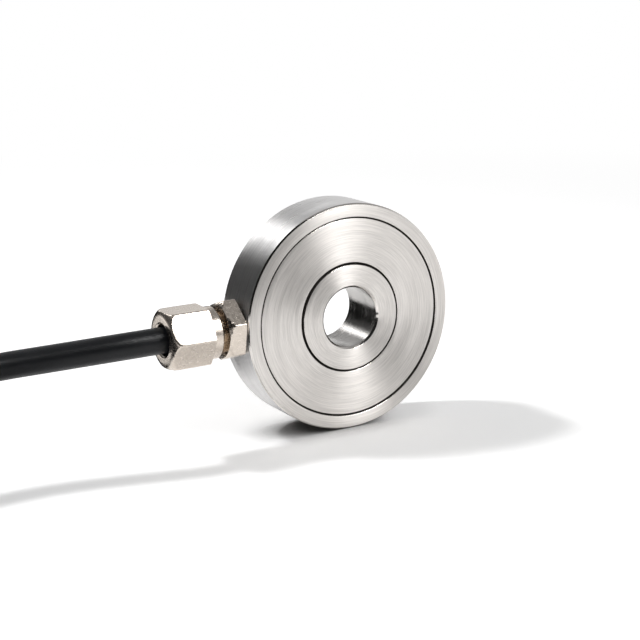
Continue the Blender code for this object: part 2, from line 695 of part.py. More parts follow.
def finish_meshes(parts):
    """Applies what turns and cuts each piece, then shades its round faces smooth up to the edges."""
    view = bpy.context.view_layer
    view.update()
    graph = bpy.context.evaluated_depsgraph_get()
    solid = [made for made in parts.objects if made.modifiers]
    meshes = [bpy.data.meshes.new_from_object(made.evaluated_get(graph)) for made in solid]
    for made, mesh in zip(solid, meshes):
        made.modifiers.clear()
        made.data = mesh
        mesh.shade_smooth()
        mesh.set_sharp_from_angle(angle=radians(30))


def main():
    clear_scene()
    parts = new_collection("washer_load_cell")
    cutters = new_collection("cutters")
    steel = new_material("brushed_stainless", (0.62, 0.60, 0.58), 0.32, 1.0)
    nickel = new_material("nickel_plated_brass", (0.66, 0.60, 0.54), 0.22, 1.0)
    brass = new_material("brass", (0.72, 0.52, 0.26), 0.30, 1.0)
    rubber = new_material("black_rubber", (0.012, 0.012, 0.012), 0.70)
    jacket = new_material("black_jacket", (0.010, 0.011, 0.013), 0.42)
    strap = new_material("black_strap", (0.020, 0.020, 0.022), 0.60)
    foil = new_material("gauge_film", (0.60, 0.30, 0.06), 0.45)
    enamel = new_material("enamelled_wire", (0.45, 0.16, 0.05), 0.35, 1.0)
    laminate = new_material("glass_laminate", (0.04, 0.22, 0.10), 0.50)
    ceramic = new_material("resistor_body", (0.03, 0.03, 0.035), 0.40)
    tinned = new_material("tinned_copper", (0.70, 0.69, 0.66), 0.30, 1.0)
    colours = [
        ("red", new_material("red_insulation", (0.55, 0.02, 0.02), 0.40)),
        ("black", new_material("black_insulation", (0.012, 0.012, 0.013), 0.40)),
        ("green", new_material("green_insulation", (0.02, 0.30, 0.07), 0.40)),
        ("white", new_material("white_insulation", (0.80, 0.79, 0.76), 0.40)),
    ]

    make_sensing_body(parts, cutters, steel)
    make_cover_plate(parts, steel)
    make_gauges(parts, cutters, foil, enamel)
    make_board(parts, laminate, ceramic)
    make_gland(parts, cutters, nickel, rubber, brass)
    make_inner_cores(parts, colours, tinned)
    wire("signal_cable", lead_route(), CABLE_RADIUS, parts, jacket, 2.0, 3)
    hank = make_hank(parts, jacket, strap)
    wire("signal_cable_tail", tail_route(), CABLE_RADIUS, parts, jacket, 0.7, 3)
    make_lead_end(parts, rubber, colours, tinned)
    finish_meshes(parts)
    draw_out(hank, HANK_STRAIGHT)


main()
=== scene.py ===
"""Looks of the washer load cell: every surface, the wound lead and the studio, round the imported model.

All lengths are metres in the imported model's frame: the bore runs along Y with the closed front face
towards -Y, the cable gland points along -X, and the ring stands on the floor at z = 0.
"""

from math import radians

import bmesh
import bpy
import numpy as np
from mathutils import Matrix


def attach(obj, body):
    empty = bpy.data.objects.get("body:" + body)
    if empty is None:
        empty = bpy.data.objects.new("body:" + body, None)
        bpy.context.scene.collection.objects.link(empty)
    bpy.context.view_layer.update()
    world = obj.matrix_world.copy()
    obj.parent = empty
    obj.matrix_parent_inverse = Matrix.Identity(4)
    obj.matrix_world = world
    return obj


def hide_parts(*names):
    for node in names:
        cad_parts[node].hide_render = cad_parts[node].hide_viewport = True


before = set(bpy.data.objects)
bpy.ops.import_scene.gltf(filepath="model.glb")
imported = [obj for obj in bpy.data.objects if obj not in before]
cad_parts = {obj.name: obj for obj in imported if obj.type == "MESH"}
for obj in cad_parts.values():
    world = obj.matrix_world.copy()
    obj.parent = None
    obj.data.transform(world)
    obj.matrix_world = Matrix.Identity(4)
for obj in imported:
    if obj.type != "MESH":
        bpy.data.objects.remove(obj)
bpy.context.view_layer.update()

# Camera
# One long lens, a little above the cell and to the left of its axis, tilted slightly to the left. Its
# focal length and the picture's width are in pixels of the photograph.
CAMERA_PLACE = (-0.1552, -0.2678, 0.0993)
CAMERA_RIGHT = (0.8672, -0.4973, -0.0256)
CAMERA_UP = (0.1429, 0.1995, 0.9694)
FOCAL_PIXELS = 1573.1
FRAME_PIXELS = 640

right = np.array(CAMERA_RIGHT)
right /= np.linalg.norm(right)
up = np.array(CAMERA_UP) - right * np.dot(CAMERA_UP, right)
up /= np.linalg.norm(up)
turn = np.eye(4)
turn[:3, 0] = right
turn[:3, 1] = up
turn[:3, 2] = np.cross(right, up)
turn[:3, 3] = CAMERA_PLACE
camera = bpy.data.objects.new("camera", bpy.data.cameras.new("camera"))
camera.data.lens = camera.data.sensor_width * FOCAL_PIXELS / FRAME_PIXELS
camera.data.clip_start = 0.01
camera.data.clip_end = 20.0
camera.matrix_world = Matrix(turn.tolist())
bpy.context.scene.collection.objects.link(camera)
bpy.context.scene.camera = camera

# Signal cable
# A round lead with a black extruded jacket, clamped in the gland. It leaves the gland level, comes down
# in a long slope onto the hank that the rest of it is wound up in, and ends inside that hank.
CABLE_RADIUS = 0.0026
CABLE_SIDES = 36
CABLE_STEP = 0.0016
HANK_STEP = 0.003
HANK_FIRST = 0.002
RING_HEIGHT = 0.022986
SEAT_GAP = 0.0003
HANK_BEND_START = -0.1064
HANK_HALF_STRAIGHT = 0.0260
HANK_BEND_RADIUS = 0.0136
HANK_CENTRE = (HANK_BEND_START - HANK_HALF_STRAIGHT, 0.0159)
HANK_LOW = 0.0035
LAYER_RISE = 0.004503
CROSSING_LENGTH = 0.0340
TAIL_LEAVING = 0.0240
TAIL_STRAIGHT = 0.0060
TAIL_HEIGHT = 0.0033
JACKET_COLOUR = (0.0055, 0.0060, 0.0075, 1.0)
JACKET_BLOOM = (0.010, 0.011, 0.013, 1.0)
SHARP_EDGE = radians(32)
LEAD_ROUTE = [
    (-0.0199, 0.0, RING_HEIGHT),
    (-0.0300, 0.0, RING_HEIGHT),
    (-0.0400, 0.0, RING_HEIGHT),
    (-0.0460, 0.0004, 0.02287),
    (-0.0520, 0.0018, 0.02247),
    (-0.0600, 0.0038, 0.02190),
    (-0.0680, 0.0055, 0.02141),
    (-0.0760, 0.0061, 0.02098),
    (-0.0850, 0.0056, 0.02056),
    (-0.0938, 0.0049, 0.01970),
    (-0.0990, 0.0049, 0.01860),
    (-0.1035, 0.0049, 0.01760),
]


def hank_points(spacing):
    """Points of the wound lead, clockwise from above, from the near end of the front long side.

    Along the loop, the straight runs move the centre and the bends turn the outward direction. Each turn
    lies in a slot (sideways step outwards in cable radii, layer from the floor). Where the back long side
    meets the near bend, every turn moves to its next slot along a smooth step. The last turn leaves its
    slot at the end of the far bend.
    """
    slots = [(-1, 3), (2, 2), (0, 2), (-2, 2), (-1, 1), (1, 1), (2, 0), (0, 0), (-2, 0)]
    bend = np.pi * HANK_BEND_RADIUS
    straight = 2 * HANK_HALF_STRAIGHT
    loop = 2 * (straight + bend)
    end = (len(slots) - 1) * loop + straight + bend
    travel = np.linspace(HANK_FIRST, end, round(end / spacing))
    place = np.tile(np.array(slots[0], float), (len(travel), 1))
    for n in range(1, len(slots)):
        share = np.clip((travel - n * loop + bend) / CROSSING_LENGTH + 0.5, 0.0, 1.0)
        share = share**2 * (3.0 - 2.0 * share)
        place += share[:, None] * (np.array(slots[n], float) - slots[n - 1])
    here = travel % loop
    ahead = np.clip(here, 0.0, straight)
    back = np.clip(here - straight - bend, 0.0, straight)
    turned = np.clip(here - straight, 0.0, bend) + np.clip(here - 2 * straight - bend, 0.0, bend)
    angle = -np.pi / 2 - turned / HANK_BEND_RADIUS
    radius = HANK_BEND_RADIUS + CABLE_RADIUS * place[:, 0]
    x = HANK_BEND_START - ahead + back + radius * np.cos(angle)
    y = HANK_CENTRE[1] + radius * np.sin(angle)
    return np.stack([x, y, HANK_LOW + LAYER_RISE * place[:, 1]], axis=1)


def tail_points():
    """The end of the jacket: from the lowest inner slot along a smooth step to the middle of the hank."""
    start = HANK_CENTRE[0] - HANK_HALF_STRAIGHT
    share = np.linspace(0.1, 1.0, 10)
    step = share**2 * (3.0 - 2.0 * share)
    x = start + share * TAIL_LEAVING
    y = HANK_CENTRE[1] + (HANK_BEND_RADIUS - 2 * CABLE_RADIUS) * (1.0 - step)
    leaving = np.stack([x, y, HANK_LOW + (TAIL_HEIGHT - HANK_LOW) * share], axis=1)
    middle = [start + TAIL_LEAVING + TAIL_STRAIGHT / 2, HANK_CENTRE[1], TAIL_HEIGHT]
    last = [start + TAIL_LEAVING + TAIL_STRAIGHT, HANK_CENTRE[1], TAIL_HEIGHT]
    return np.vstack([leaving, middle, last])


def run_along(points):
    """Length along a line of points from the first to each of them."""
    return np.concatenate([[0.0], np.cumsum(np.linalg.norm(np.diff(points, axis=0), axis=1))])


def smooth_path(points, spacing):
    """Places at even spacing along the Catmull-Rom curve through the points."""
    knots = np.array(points, float)
    ends = np.vstack([2 * knots[0] - knots[1], knots, 2 * knots[-1] - knots[-2]])
    a, b, c, d = (ends[i : len(ends) - 3 + i, None, :] for i in range(4))
    t = np.linspace(0, 1, 12, endpoint=False)[None, :, None]
    square, cube = 2 * a - 5 * b + 4 * c - d, 3 * b - a - 3 * c + d
    fine = 0.5 * (2 * b + (c - a) * t + square * t**2 + cube * t**3)
    fine = np.vstack([fine.reshape(-1, 3), knots[-1:]])
    run = run_along(fine)
    places = np.linspace(0.0, run[-1], max(3, round(run[-1] / spacing) + 1))
    return np.stack([np.interp(places, run, fine[:, k]) for k in range(3)], axis=1)


def put_grid(name, grid, u=None, v=None, close_rows=False, caps=False):
    """Makes a piece from rows of points that each run once round it.

    A face joins each point to its neighbour in the row and the two below. With close_rows the last row
    joins the first, as on a ring; with caps the first and last rows are closed by a fan. The UV map holds
    u round the piece (0 to 1 unless given) and v along it. The faces point outwards: where the volume
    that they enclose comes out negative, they are turned round.
    """
    rows, around = grid.shape[:2]
    i = np.arange(rows if close_rows else rows - 1)[:, None]
    j = np.arange(around)[None, :]
    below, beside = (i + 1) % rows, (j + 1) % around
    corners = (i * around + j, below * around + j, below * around + beside, i * around + beside)
    quads = np.stack(corners, axis=-1).reshape(-1, 4)
    fans = np.zeros((0, 3), int)
    points = grid.reshape(-1, 3)
    if caps:
        ring = np.arange(around)
        beyond = (ring + 1) % around
        last = (rows - 1) * around
        first_fan = np.stack([np.full(around, len(points)), ring, beyond], axis=1)
        last_fan = np.stack([np.full(around, len(points) + 1), last + beyond, last + ring], axis=1)
        fans = np.vstack([first_fan, last_fan])
        points = np.vstack([points, grid[0].mean(axis=0), grid[-1].mean(axis=0)])
    triangles = np.vstack([quads[:, :3], quads[:, [0, 2, 3]], fans])
    a, b, c = (points[triangles[:, k]] for k in range(3))
    if (a * np.cross(b, c)).sum() < 0:
        quads, fans = quads[:, ::-1], fans[:, ::-1]
    mesh = bpy.data.meshes.new(name)
    mesh.from_pydata(points.tolist(), [], quads.tolist() + fans.tolist())
    u = np.linspace(0, 1, around, endpoint=False) if u is None else u
    v = np.arange(rows, dtype=float) if v is None else v
    corner = np.zeros(len(mesh.loops), np.int32)
    mesh.loops.foreach_get("vertex_index", corner)
    uv = np.zeros((len(corner), 2))
    inside = corner < rows * around
    uv[inside, 0] = u[corner[inside] % around]
    uv[inside, 1] = v[corner[inside] // around]
    face = np.repeat(np.arange(len(quads) + len(fans)), [4] * len(quads) + [3] * len(fans))
    widest = np.zeros(len(quads) + len(fans))
    np.maximum.at(widest, face, uv[:, 0])
    wraps = (widest[face] > 0.75 * u[-1]) & (uv[:, 0] < 0.25 * u[-1]) & inside
    uv[wraps, 0] += u[-1] + u[1]
    layer = mesh.uv_layers.new(name="surface")
    layer.data.foreach_set("uv", uv.astype(np.float32).ravel())
    mesh.shade_smooth()
    mesh.set_sharp_from_angle(angle=SHARP_EDGE)
    piece = bpy.data.objects.new(name, mesh)
    bpy.context.scene.collection.objects.link(piece)
    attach(piece, "root")
    return piece


def put_tube(name, path, radius, sides):
    """A round tube along a path. Each ring of points lies across the path's direction there, and is turned
    as little as possible from the one before it."""
    path = np.asarray(path, float)
    along = np.gradient(path, axis=0)
    along /= np.linalg.norm(along, axis=1)[:, None]
    side = np.cross(along[0], (0.0, 0.0, 1.0))
    if np.linalg.norm(side) < 0.1:
        side = np.cross(along[0], (0.0, 1.0, 0.0))
    sides_across = []
    for direction in along:
        side = side - direction * np.dot(side, direction)
        side = side / np.linalg.norm(side)
        sides_across.append(side)
    across = np.array(sides_across)
    other = np.cross(along, across)
    angle = np.linspace(0, 2 * np.pi, sides, endpoint=False)
    cosine, sine = np.cos(angle)[None, :, None], np.sin(angle)[None, :, None]
    ring = across[:, None, :] * cosine + other[:, None, :] * sine
    return put_grid(name, path[:, None, :] + radius * ring, v=run_along(path), caps=True)


def set_inputs(tree, node, inputs):
    """Gives inputs of a node, by name or number, a value each or the socket that feeds it."""
    for place, value in inputs.items():
        if isinstance(value, bpy.types.NodeSocket):
            tree.links.new(value, node.inputs[place])
        else:
            node.inputs[place].default_value = value


def add_node(tree, kind, inputs=None, **settings):
    """Adds a shader node of that kind. Settings are properties of the node itself."""
    node = tree.nodes.new(f"ShaderNode{kind}")
    for name, value in settings.items():
        setattr(node, name, value)
    set_inputs(tree, node, inputs or {})
    return node


def new_material(name):
    """An empty material and its node tree."""
    made = bpy.data.materials.new(name)
    made.use_nodes = True
    return made, made.node_tree


def finish_material(made, inputs):
    """Gives the Principled shader of a material its inputs, and returns the material."""
    tree = made.node_tree
    set_inputs(tree, tree.nodes["Principled BSDF"], inputs)
    return made


def new_group(name, taken, given):
    """An empty node group for a shared effect, with the sockets that it takes and gives. The one called
    Vector is a vector and the others are numbers."""
    tree = bpy.data.node_groups.new(name, "ShaderNodeTree")
    for in_out, sockets in (("INPUT", taken), ("OUTPUT", given)):
        for socket in sockets:
            kind = "NodeSocketVector" if socket == "Vector" else "NodeSocketFloat"
            tree.interface.new_socket(socket, in_out=in_out, socket_type=kind)
    return tree, tree.nodes.new("NodeGroupInput").outputs, tree.nodes.new("NodeGroupOutput").inputs


def add_math(tree, operation, a, b, c=0.5, clamp=False):
    """Result of a sum on numbers or sockets."""
    node = add_node(tree, "Math", {0: a, 1: b, 2: c}, operation=operation, use_clamp=clamp)
    return node.outputs[0]


def fine_grain_group():
    """Shared effect: fine uneven grain. Coordinates times Scale feed a noise, and its value, spread by
    Contrast round one half, comes out as Mask."""
    tree, taken, given = new_group("fine_grain", ("Vector", "Scale", "Contrast"), ("Mask",))
    inputs = {"Vector": taken["Vector"], "Scale": taken["Scale"], "Detail": 5.0, "Roughness": 0.6}
    noise = add_node(tree, "TexNoise", inputs)
    centred = add_math(tree, "SUBTRACT", noise.outputs["Fac"], 0.5)
    spread = add_math(tree, "MULTIPLY_ADD", centred, taken["Contrast"], 0.5, clamp=True)
    tree.links.new(spread, given["Mask"])
    return tree


FINE_GRAIN = fine_grain_group()


def add_grain(tree, scale, contrast, stretch=(1.0, 1.0, 1.0)):
    """Puts the grain effect in a material on its Object coordinates, and returns its Mask."""
    place = add_node(tree, "TexCoord").outputs["Object"]
    mapping = add_node(tree, "Mapping", {"Vector": place, "Scale": stretch})
    inputs = {"Vector": mapping.outputs["Vector"], "Scale": scale, "Contrast": contrast}
    return add_node(tree, "Group", inputs, node_tree=FINE_GRAIN).outputs["Mask"]


def blend_colours(tree, mask, low, high):
    """Colour that goes from low to high with the mask."""
    mix = add_node(tree, "Mix", {"Factor": mask, "A": low, "B": high}, data_type="RGBA")
    return mix.outputs["Result"]


def blend_values(tree, mask, low, high, span=(0.0, 1.0), course="LINEAR"):
    """Number that goes from low to high while the mask goes over the span."""
    inputs = {"Value": mask, "From Min": span[0], "From Max": span[1], "To Min": low, "To Max": high}
    return add_node(tree, "MapRange", inputs, interpolation_type=course).outputs["Result"]


def bump(tree, height, distance, strength=1.0):
    """Normal of a bump of the given depth in metres."""
    inputs = {"Height": height, "Distance": distance, "Strength": strength}
    return add_node(tree, "Bump", inputs).outputs["Normal"]


def mottled_material(name, grain, low, high, roughness, metallic=0.0, depth=None, stretch=(1.0, 1.0, 1.0)):
    """A finish whose tone goes from low to high with a grain of the given scale and contrast. Where the
    roughness is a pair it follows the same grain, and so does a bump of that depth, if there is one."""
    made, tree = new_material(name)
    mask = add_grain(tree, *grain, stretch)
    varied = isinstance(roughness, tuple)
    inputs = {
        "Base Color": blend_colours(tree, mask, low, high),
        "Roughness": blend_values(tree, mask, *roughness) if varied else roughness,
        "Metallic": metallic,
    }
    if depth:
        inputs["Normal"] = bump(tree, mask, depth)
    return finish_material(made, inputs)


def jacket_material():
    """Satin black jacket: a faint cloudy bloom, and the orange-peel skin of an extrusion."""
    made, tree = new_material("black_jacket")
    skin = add_grain(tree, 2600.0, 2.2)
    cloud = add_grain(tree, 220.0, 2.0)
    inputs = {
        "Base Color": blend_colours(tree, cloud, JACKET_COLOUR, JACKET_BLOOM),
        "Roughness": blend_values(tree, skin, 0.28, 0.40),
        "Specular IOR Level": 0.28,
        "Normal": bump(tree, skin, 0.00003, 0.8),
    }
    return finish_material(made, inputs)


cable_path = smooth_path(np.vstack([LEAD_ROUTE, hank_points(HANK_STEP), tail_points()]), CABLE_STEP)
cable = put_tube("lead", cable_path, CABLE_RADIUS, CABLE_SIDES)
cable.data.materials.append(jacket_material())
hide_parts("signal_cable", "cable_coil", "signal_cable_tail")

# Ties of the hank
# Two woven hook-and-loop straps of black nylon, each closed round the wound turns on one long side of
# the hank. They lie next to the turns, and their edges are a little softened.
TIE_OFFSET = 0.0080
TIE_WIDTH = 0.0040
TIE_THICKNESS = 0.0006
TIE_EDGE = 0.00012
TIE_SIDE_SHARE = 0.35
TIE_AROUND = 180
STRAP_COLOUR = (0.018, 0.018, 0.020, 1.0)


def tie_outline(grow, count):
    """Closed outline round the wound turns: an arc about each corner turn, joined by straight runs, all at
    the cable's radius plus grow. Points are (sideways, height) at even spacing."""
    radius = CABLE_RADIUS + grow
    edge = 2 * CABLE_RADIUS
    upper = HANK_LOW + 2 * LAYER_RISE
    corners = [
        (edge, upper, 60, 0),
        (edge, HANK_LOW, 0, -90),
        (-edge, HANK_LOW, 270, 180),
        (-edge, upper, 180, 120),
        (-CABLE_RADIUS, upper + LAYER_RISE, 120, 60),
    ]
    outline = []
    for across, height, start, end in corners:
        angle = np.radians(np.linspace(start, end, 16))
        bend = np.stack([across + radius * np.cos(angle), height + radius * np.sin(angle)], axis=1)
        outline.append(bend)
    outline = np.vstack([*outline, outline[0][:1]])
    run = run_along(outline)
    places = np.linspace(0.0, run[-1], count, endpoint=False)
    return np.stack([np.interp(places, run, outline[:, k]) for k in range(2)], axis=1), run[-1]


def strap_material():
    """Black woven tape: fine ribs across the width, broken by the weave."""
    made, tree = new_material("woven_strap")
    place = add_node(tree, "TexCoord").outputs["UV"]
    weave = {"Vector": place, "Scale": 900.0, "Distortion": 1.4, "Detail": 2.0}
    ribs = add_node(tree, "TexWave", weave, wave_type="BANDS", bands_direction="Y")
    fuzz = add_grain(tree, 2600.0, 2.5)
    inputs = {
        "Base Color": blend_colours(tree, fuzz, STRAP_COLOUR, (0.045, 0.045, 0.048, 1.0)),
        "Roughness": 0.85,
        "Sheen Weight": 0.25,
        "Normal": bump(tree, ribs.outputs["Fac"], 0.00008),
    }
    return finish_material(made, inputs)


woven = strap_material()
inner = tie_outline(SEAT_GAP, TIE_AROUND)[0]
outer, length = tie_outline(SEAT_GAP + TIE_THICKNESS, TIE_AROUND)
flank = outer * TIE_SIDE_SHARE + inner * (1.0 - TIE_SIDE_SHARE)
half = TIE_WIDTH / 2
crown = [(half - TIE_EDGE, outer), (0.0, outer), (TIE_EDGE - half, outer)]
tie_rows = [(half, inner), (half, flank), *crown, (-half, flank), (-half, inner)]
for number, side in enumerate((-1, 1), 1):
    grid = []
    for across, line in tie_rows:
        x = np.full(TIE_AROUND, HANK_CENTRE[0] + TIE_OFFSET + across)
        y = HANK_CENTRE[1] + side * (HANK_BEND_RADIUS + line[:, 0])
        grid.append(np.stack([x, y, line[:, 1]], axis=1))
    u = np.arange(TIE_AROUND) / TIE_AROUND * length
    v = np.array([across for across, line in tie_rows])
    tie = put_grid(f"strap_{number}", np.array(grid), u=u, v=v, close_rows=True)
    tie.data.materials.append(woven)
    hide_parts(f"coil_tie_{number}")

# Stripped end
# The jacket ends under a heat-shrunk sleeve. Four coloured cores and the bare drain wire fan out of it
# and lie on the floor, and each core ends in tinned copper strands.
CORE_RADIUS = 0.00045
CORE_PITCH = 0.00062
CONDUCTOR_RADIUS = 0.00026
DRAIN_RADIUS = 0.0002
SLEEVE_LENGTH = 0.0080
SLEEVE_WALL = 0.0003
SLEEVE_TAPER = 0.0026
SLEEVE_STEP = 0.0004
STRIPPED_CORE_LENGTH = 0.0105
TINNED_LENGTH = 0.0040
STRAND_SIDES = 42
STRAND_LAY = 0.006
CORE_STEP = 0.0003
UPPER_CORE_SPREAD = 0.0031
LOWER_CORE_SPREAD = 0.0015
CORE_COLOURS = {
    "red": (0.50, 0.018, 0.016, 1.0),
    "black": (0.011, 0.011, 0.012, 1.0),
    "green": (0.018, 0.26, 0.06, 1.0),
    "white": (0.76, 0.75, 0.72, 1.0),
}

jacket_end, end_y, end_z = cable_path[-1]
sleeve_end = jacket_end + SLEEVE_TAPER
wide = CABLE_RADIUS + SEAT_GAP
narrow = CORE_PITCH * np.sqrt(2) + CORE_RADIUS + SEAT_GAP


def lathe(name, profile, around, axis):
    """A turned piece. The profile is a closed outline of (radius, place along the axis), swept once round
    the cell's bore (axis "bore", places towards the front), the gland (places away from the bore) or the
    stripped end of the lead (places along +X)."""
    profile = np.array(profile, float)
    angle = np.linspace(0, 2 * np.pi, around, endpoint=False)
    radius, place = profile[:, :1], np.broadcast_to(profile[:, 1:], (len(profile), around))
    across, height = radius * np.cos(angle), radius * np.sin(angle)
    if axis == "bore":
        grid = np.stack([across, -place, RING_HEIGHT + height], axis=-1)
    elif axis == "gland":
        grid = np.stack([-place, across, RING_HEIGHT + height], axis=-1)
    else:
        grid = np.stack([place, end_y + across, end_z + height], axis=-1)
    return put_grid(name, grid, v=run_along(profile), close_rows=True)


def soft_outline(corners, rounding, steps=4, spacing=None):
    """A closed (radius, place) outline with each corner rounded by an arc of the given radius (one number
    for all, or one for each). Long straight runs get extra points at the given spacing."""
    corners = np.array(corners, float)
    count = len(corners)
    rounding = np.broadcast_to(np.asarray(rounding, float), (count,))
    line = []
    for n in range(count):
        here, before, after = corners[n], corners[n - 1], corners[(n + 1) % count]
        back = (before - here) / np.linalg.norm(before - here)
        ahead = (after - here) / np.linalg.norm(after - here)
        half_angle = 0.5 * np.arccos(np.clip(np.dot(back, ahead), -1.0, 1.0))
        reach = rounding[n] / np.tan(half_angle)
        middle = (back + ahead) / np.linalg.norm(back + ahead)
        centre = here + middle * rounding[n] / np.sin(half_angle)
        start, end = here + back * reach - centre, here + ahead * reach - centre
        for share in np.linspace(0, 1, steps + 1):
            spoke = start * (1 - share) + end * share
            line.append(centre + spoke / np.linalg.norm(spoke) * rounding[n])
    line = np.array(line)
    if spacing is None:
        return line
    dense = []
    for a, b in zip(line, np.roll(line, -1, axis=0)):
        pieces = max(1, int(np.ceil(np.linalg.norm(b - a) / spacing)))
        dense.append(a + (b - a) * np.arange(pieces)[:, None] / pieces)
    return np.vstack(dense)


sleeve_corners = [
    (narrow + SLEEVE_WALL, sleeve_end),
    (wide + SLEEVE_WALL, jacket_end + SEAT_GAP),
    (wide + SLEEVE_WALL, sleeve_end - SLEEVE_LENGTH),
    (wide, sleeve_end - SLEEVE_LENGTH),
    (wide, jacket_end + SEAT_GAP),
    (narrow, sleeve_end),
]
sleeve_rounding = [0.00012, 0.0009, 0.00012, 0.00005, 0.0006, 0.00005]
sleeve_line = soft_outline(sleeve_corners, sleeve_rounding, 5, SLEEVE_STEP)
sleeve = lathe("shrink_sleeve", sleeve_line, 64, "lead end")
sleeve_tones = (0.011, 0.011, 0.011, 1.0), (0.020, 0.020, 0.021, 1.0)
wrinkles = {"depth": 0.00008, "stretch": (2.0, 0.5, 0.5)}
wrinkled = mottled_material("shrink_sleeve", (700.0, 2.0), *sleeve_tones, (0.5, 0.68), **wrinkles)
sleeve.data.materials.append(wrinkled)
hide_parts("heat_shrink_sleeve")


def mesh_points(mesh):
    """The points of a mesh, one to a row."""
    points = np.zeros(len(mesh.vertices) * 3, np.float32)
    mesh.vertices.foreach_get("co", points)
    return points.reshape(-1, 3)


def put_strands(name, path, radius):
    """A twisted bundle: a lobed tube whose radius swings with seven strands round a helix along the path."""
    piece = put_tube(name, path, radius, STRAND_SIDES)
    points = mesh_points(piece.data)
    body = points[: len(path) * STRAND_SIDES].reshape(len(path), STRAND_SIDES, 3)
    angle = np.linspace(0, 2 * np.pi, STRAND_SIDES, endpoint=False)
    twist = run_along(path)[:, None] * 2 * np.pi / STRAND_LAY
    lobes = 0.90 + 0.10 * np.abs(np.cos(3.5 * (angle[None, :] + twist)))
    body[:] = path[:, None, :] + (body - path[:, None, :]) * lobes[:, :, None]
    piece.data.vertices.foreach_set("co", points.ravel())
    return piece


insulation = {}
for name, colour in CORE_COLOURS.items():
    paler = tuple(min(1.0, 1.15 * c + 0.004) for c in colour[:3]) + (1.0,)
    insulation[name] = mottled_material(f"{name}_insulation", (900.0, 1.6), colour, paler, (0.28, 0.40))
tin_tones = (0.60, 0.59, 0.56, 1.0), (0.76, 0.74, 0.70, 1.0)
tinned = mottled_material("tinned_copper", (3000.0, 2.0), *tin_tones, (0.24, 0.42), 1.0)
lead_end = [sleeve]
core_start = jacket_end + SEAT_GAP
core_stop = core_start + STRIPPED_CORE_LENGTH
for k, name in enumerate(CORE_COLOURS):
    side = 1 if k % 2 == 0 else -1
    upper = k < 2
    across = side * CORE_PITCH
    spread = side * (UPPER_CORE_SPREAD if upper else LOWER_CORE_SPREAD)
    height = end_z + (CORE_PITCH if upper else -CORE_PITCH)
    rest = 3 * CORE_RADIUS if upper else CORE_RADIUS
    route = [
        (core_start, end_y + across, height),
        (sleeve_end, end_y + across, height),
        ((sleeve_end + core_stop) / 2, end_y + (across + spread) / 2, (height + rest) / 2),
        (core_stop, end_y + spread, rest),
    ]
    core = put_tube(f"{name}_core", smooth_path(route, CORE_STEP), CORE_RADIUS, 20)
    core.data.materials.append(insulation[name])
    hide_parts(f"core_{name}")
    along = np.array([core_stop - sleeve_end, spread - across, 0.0])
    along /= np.linalg.norm(along)
    tip = np.array(route[-1]) - along * SEAT_GAP
    strands = tip + along * np.linspace(0.0, TINNED_LENGTH + 2 * SEAT_GAP, 24)[:, None]
    end = put_strands(f"{name}_strands", strands, CONDUCTOR_RADIUS)
    end.data.materials.append(tinned)
    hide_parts(f"tinned_end_{name}")
    lead_end += [core, end]
drain_route = [
    (core_start, end_y, end_z),
    (sleeve_end, end_y, end_z),
    ((sleeve_end + core_stop) / 2, end_y, (end_z + 2 * DRAIN_RADIUS) / 2),
    (core_stop, end_y, 2 * DRAIN_RADIUS),
]
drain = put_strands("drain_strands", smooth_path(drain_route, CORE_STEP), DRAIN_RADIUS)
drain.data.materials.append(tinned)
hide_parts("drain_wire")
lead_end.append(drain)

# Gland cap nut
# Hexagon cap nut of nickel-plated brass, turned from bar, with a domed shoulder on the cable side and a
# plain round skirt on the other. It screws onto the gland body and squeezes the seal round the lead.
HEX_ACROSS_FLATS = 0.0110
BASE_HEX_TURN = 10.3
CAP_HEX_TURN = 30.6
SKIRT_START = 0.0279
SKIRT_RADIUS = 0.0052
CAP_HEX_START = 0.02995
CAP_END = 0.03875
CAP_ROUNDING = 0.0019
CAP_LIP = 0.03775
CAP_MOUTH_RADIUS = 0.0032
CAP_MOUTH_EDGE = 0.00035
FINE_EDGE = 0.0001
WEAR_STEP = 0.00005
CAP_SHOULDER_ROUNDING = 0.0004
SKIRT_EDGE = 0.00022
SOCKET_RADIUS = 0.0042
CLAMP_RING_START = 0.0339
CAP_CORNER_RADIUS = HEX_ACROSS_FLATS / np.sqrt(3)
NECK_RADIUS = 0.0043
THREAD_CLEARANCE = 0.0003
GLAND_AROUND = 360
BAR_SHARPNESS = 75.0
FACET_SHARPNESS = 110.0
NICKEL_COLOUR = (0.70, 0.63, 0.56, 1.0)
WORN_BRASS_COLOUR = (0.44, 0.35, 0.26, 1.0)


def hexagon_radius(angle, turn_degrees, sharpness):
    """Distance from the axis to a hexagon's side in each direction: the apothem over the largest cosine
    to the six sides' normals, with the soft maximum (power mean) of that sharpness rounding its corners."""
    normals = np.radians(turn_degrees + 30.0 + 60.0 * np.arange(6))
    cosines = np.clip(np.cos(angle[:, None] - normals[None, :]), 0.0, None)
    return HEX_ACROSS_FLATS / 2 / (cosines**sharpness).sum(axis=1) ** (1.0 / sharpness)


def hexagon_piece(name, profile, turn_degrees):
    """A piece of hexagon bar turned along the gland axis: in each direction the surface is the soft
    minimum (negative power mean) of the turned profile's radius and the hexagon's, so that facets,
    shoulder and bore are one surface with lightly broken edges. Directions count from the top to the
    front."""
    angle = np.linspace(0, 2 * np.pi, GLAND_AROUND, endpoint=False)
    side = hexagon_radius(angle, turn_degrees, BAR_SHARPNESS)[None, :]
    profile = np.array(profile, float)
    turned = profile[:, :1]
    radius = side * ((turned / side) ** -FACET_SHARPNESS + 1.0) ** (-1.0 / FACET_SHARPNESS)
    radius = np.where(turned < 0.8 * side, turned, radius)
    place = np.broadcast_to(profile[:, 1:], radius.shape)
    grid = np.stack([-place, -radius * np.sin(angle), RING_HEIGHT + radius * np.cos(angle)], axis=-1)
    return put_grid(name, grid, v=run_along(profile), close_rows=True)


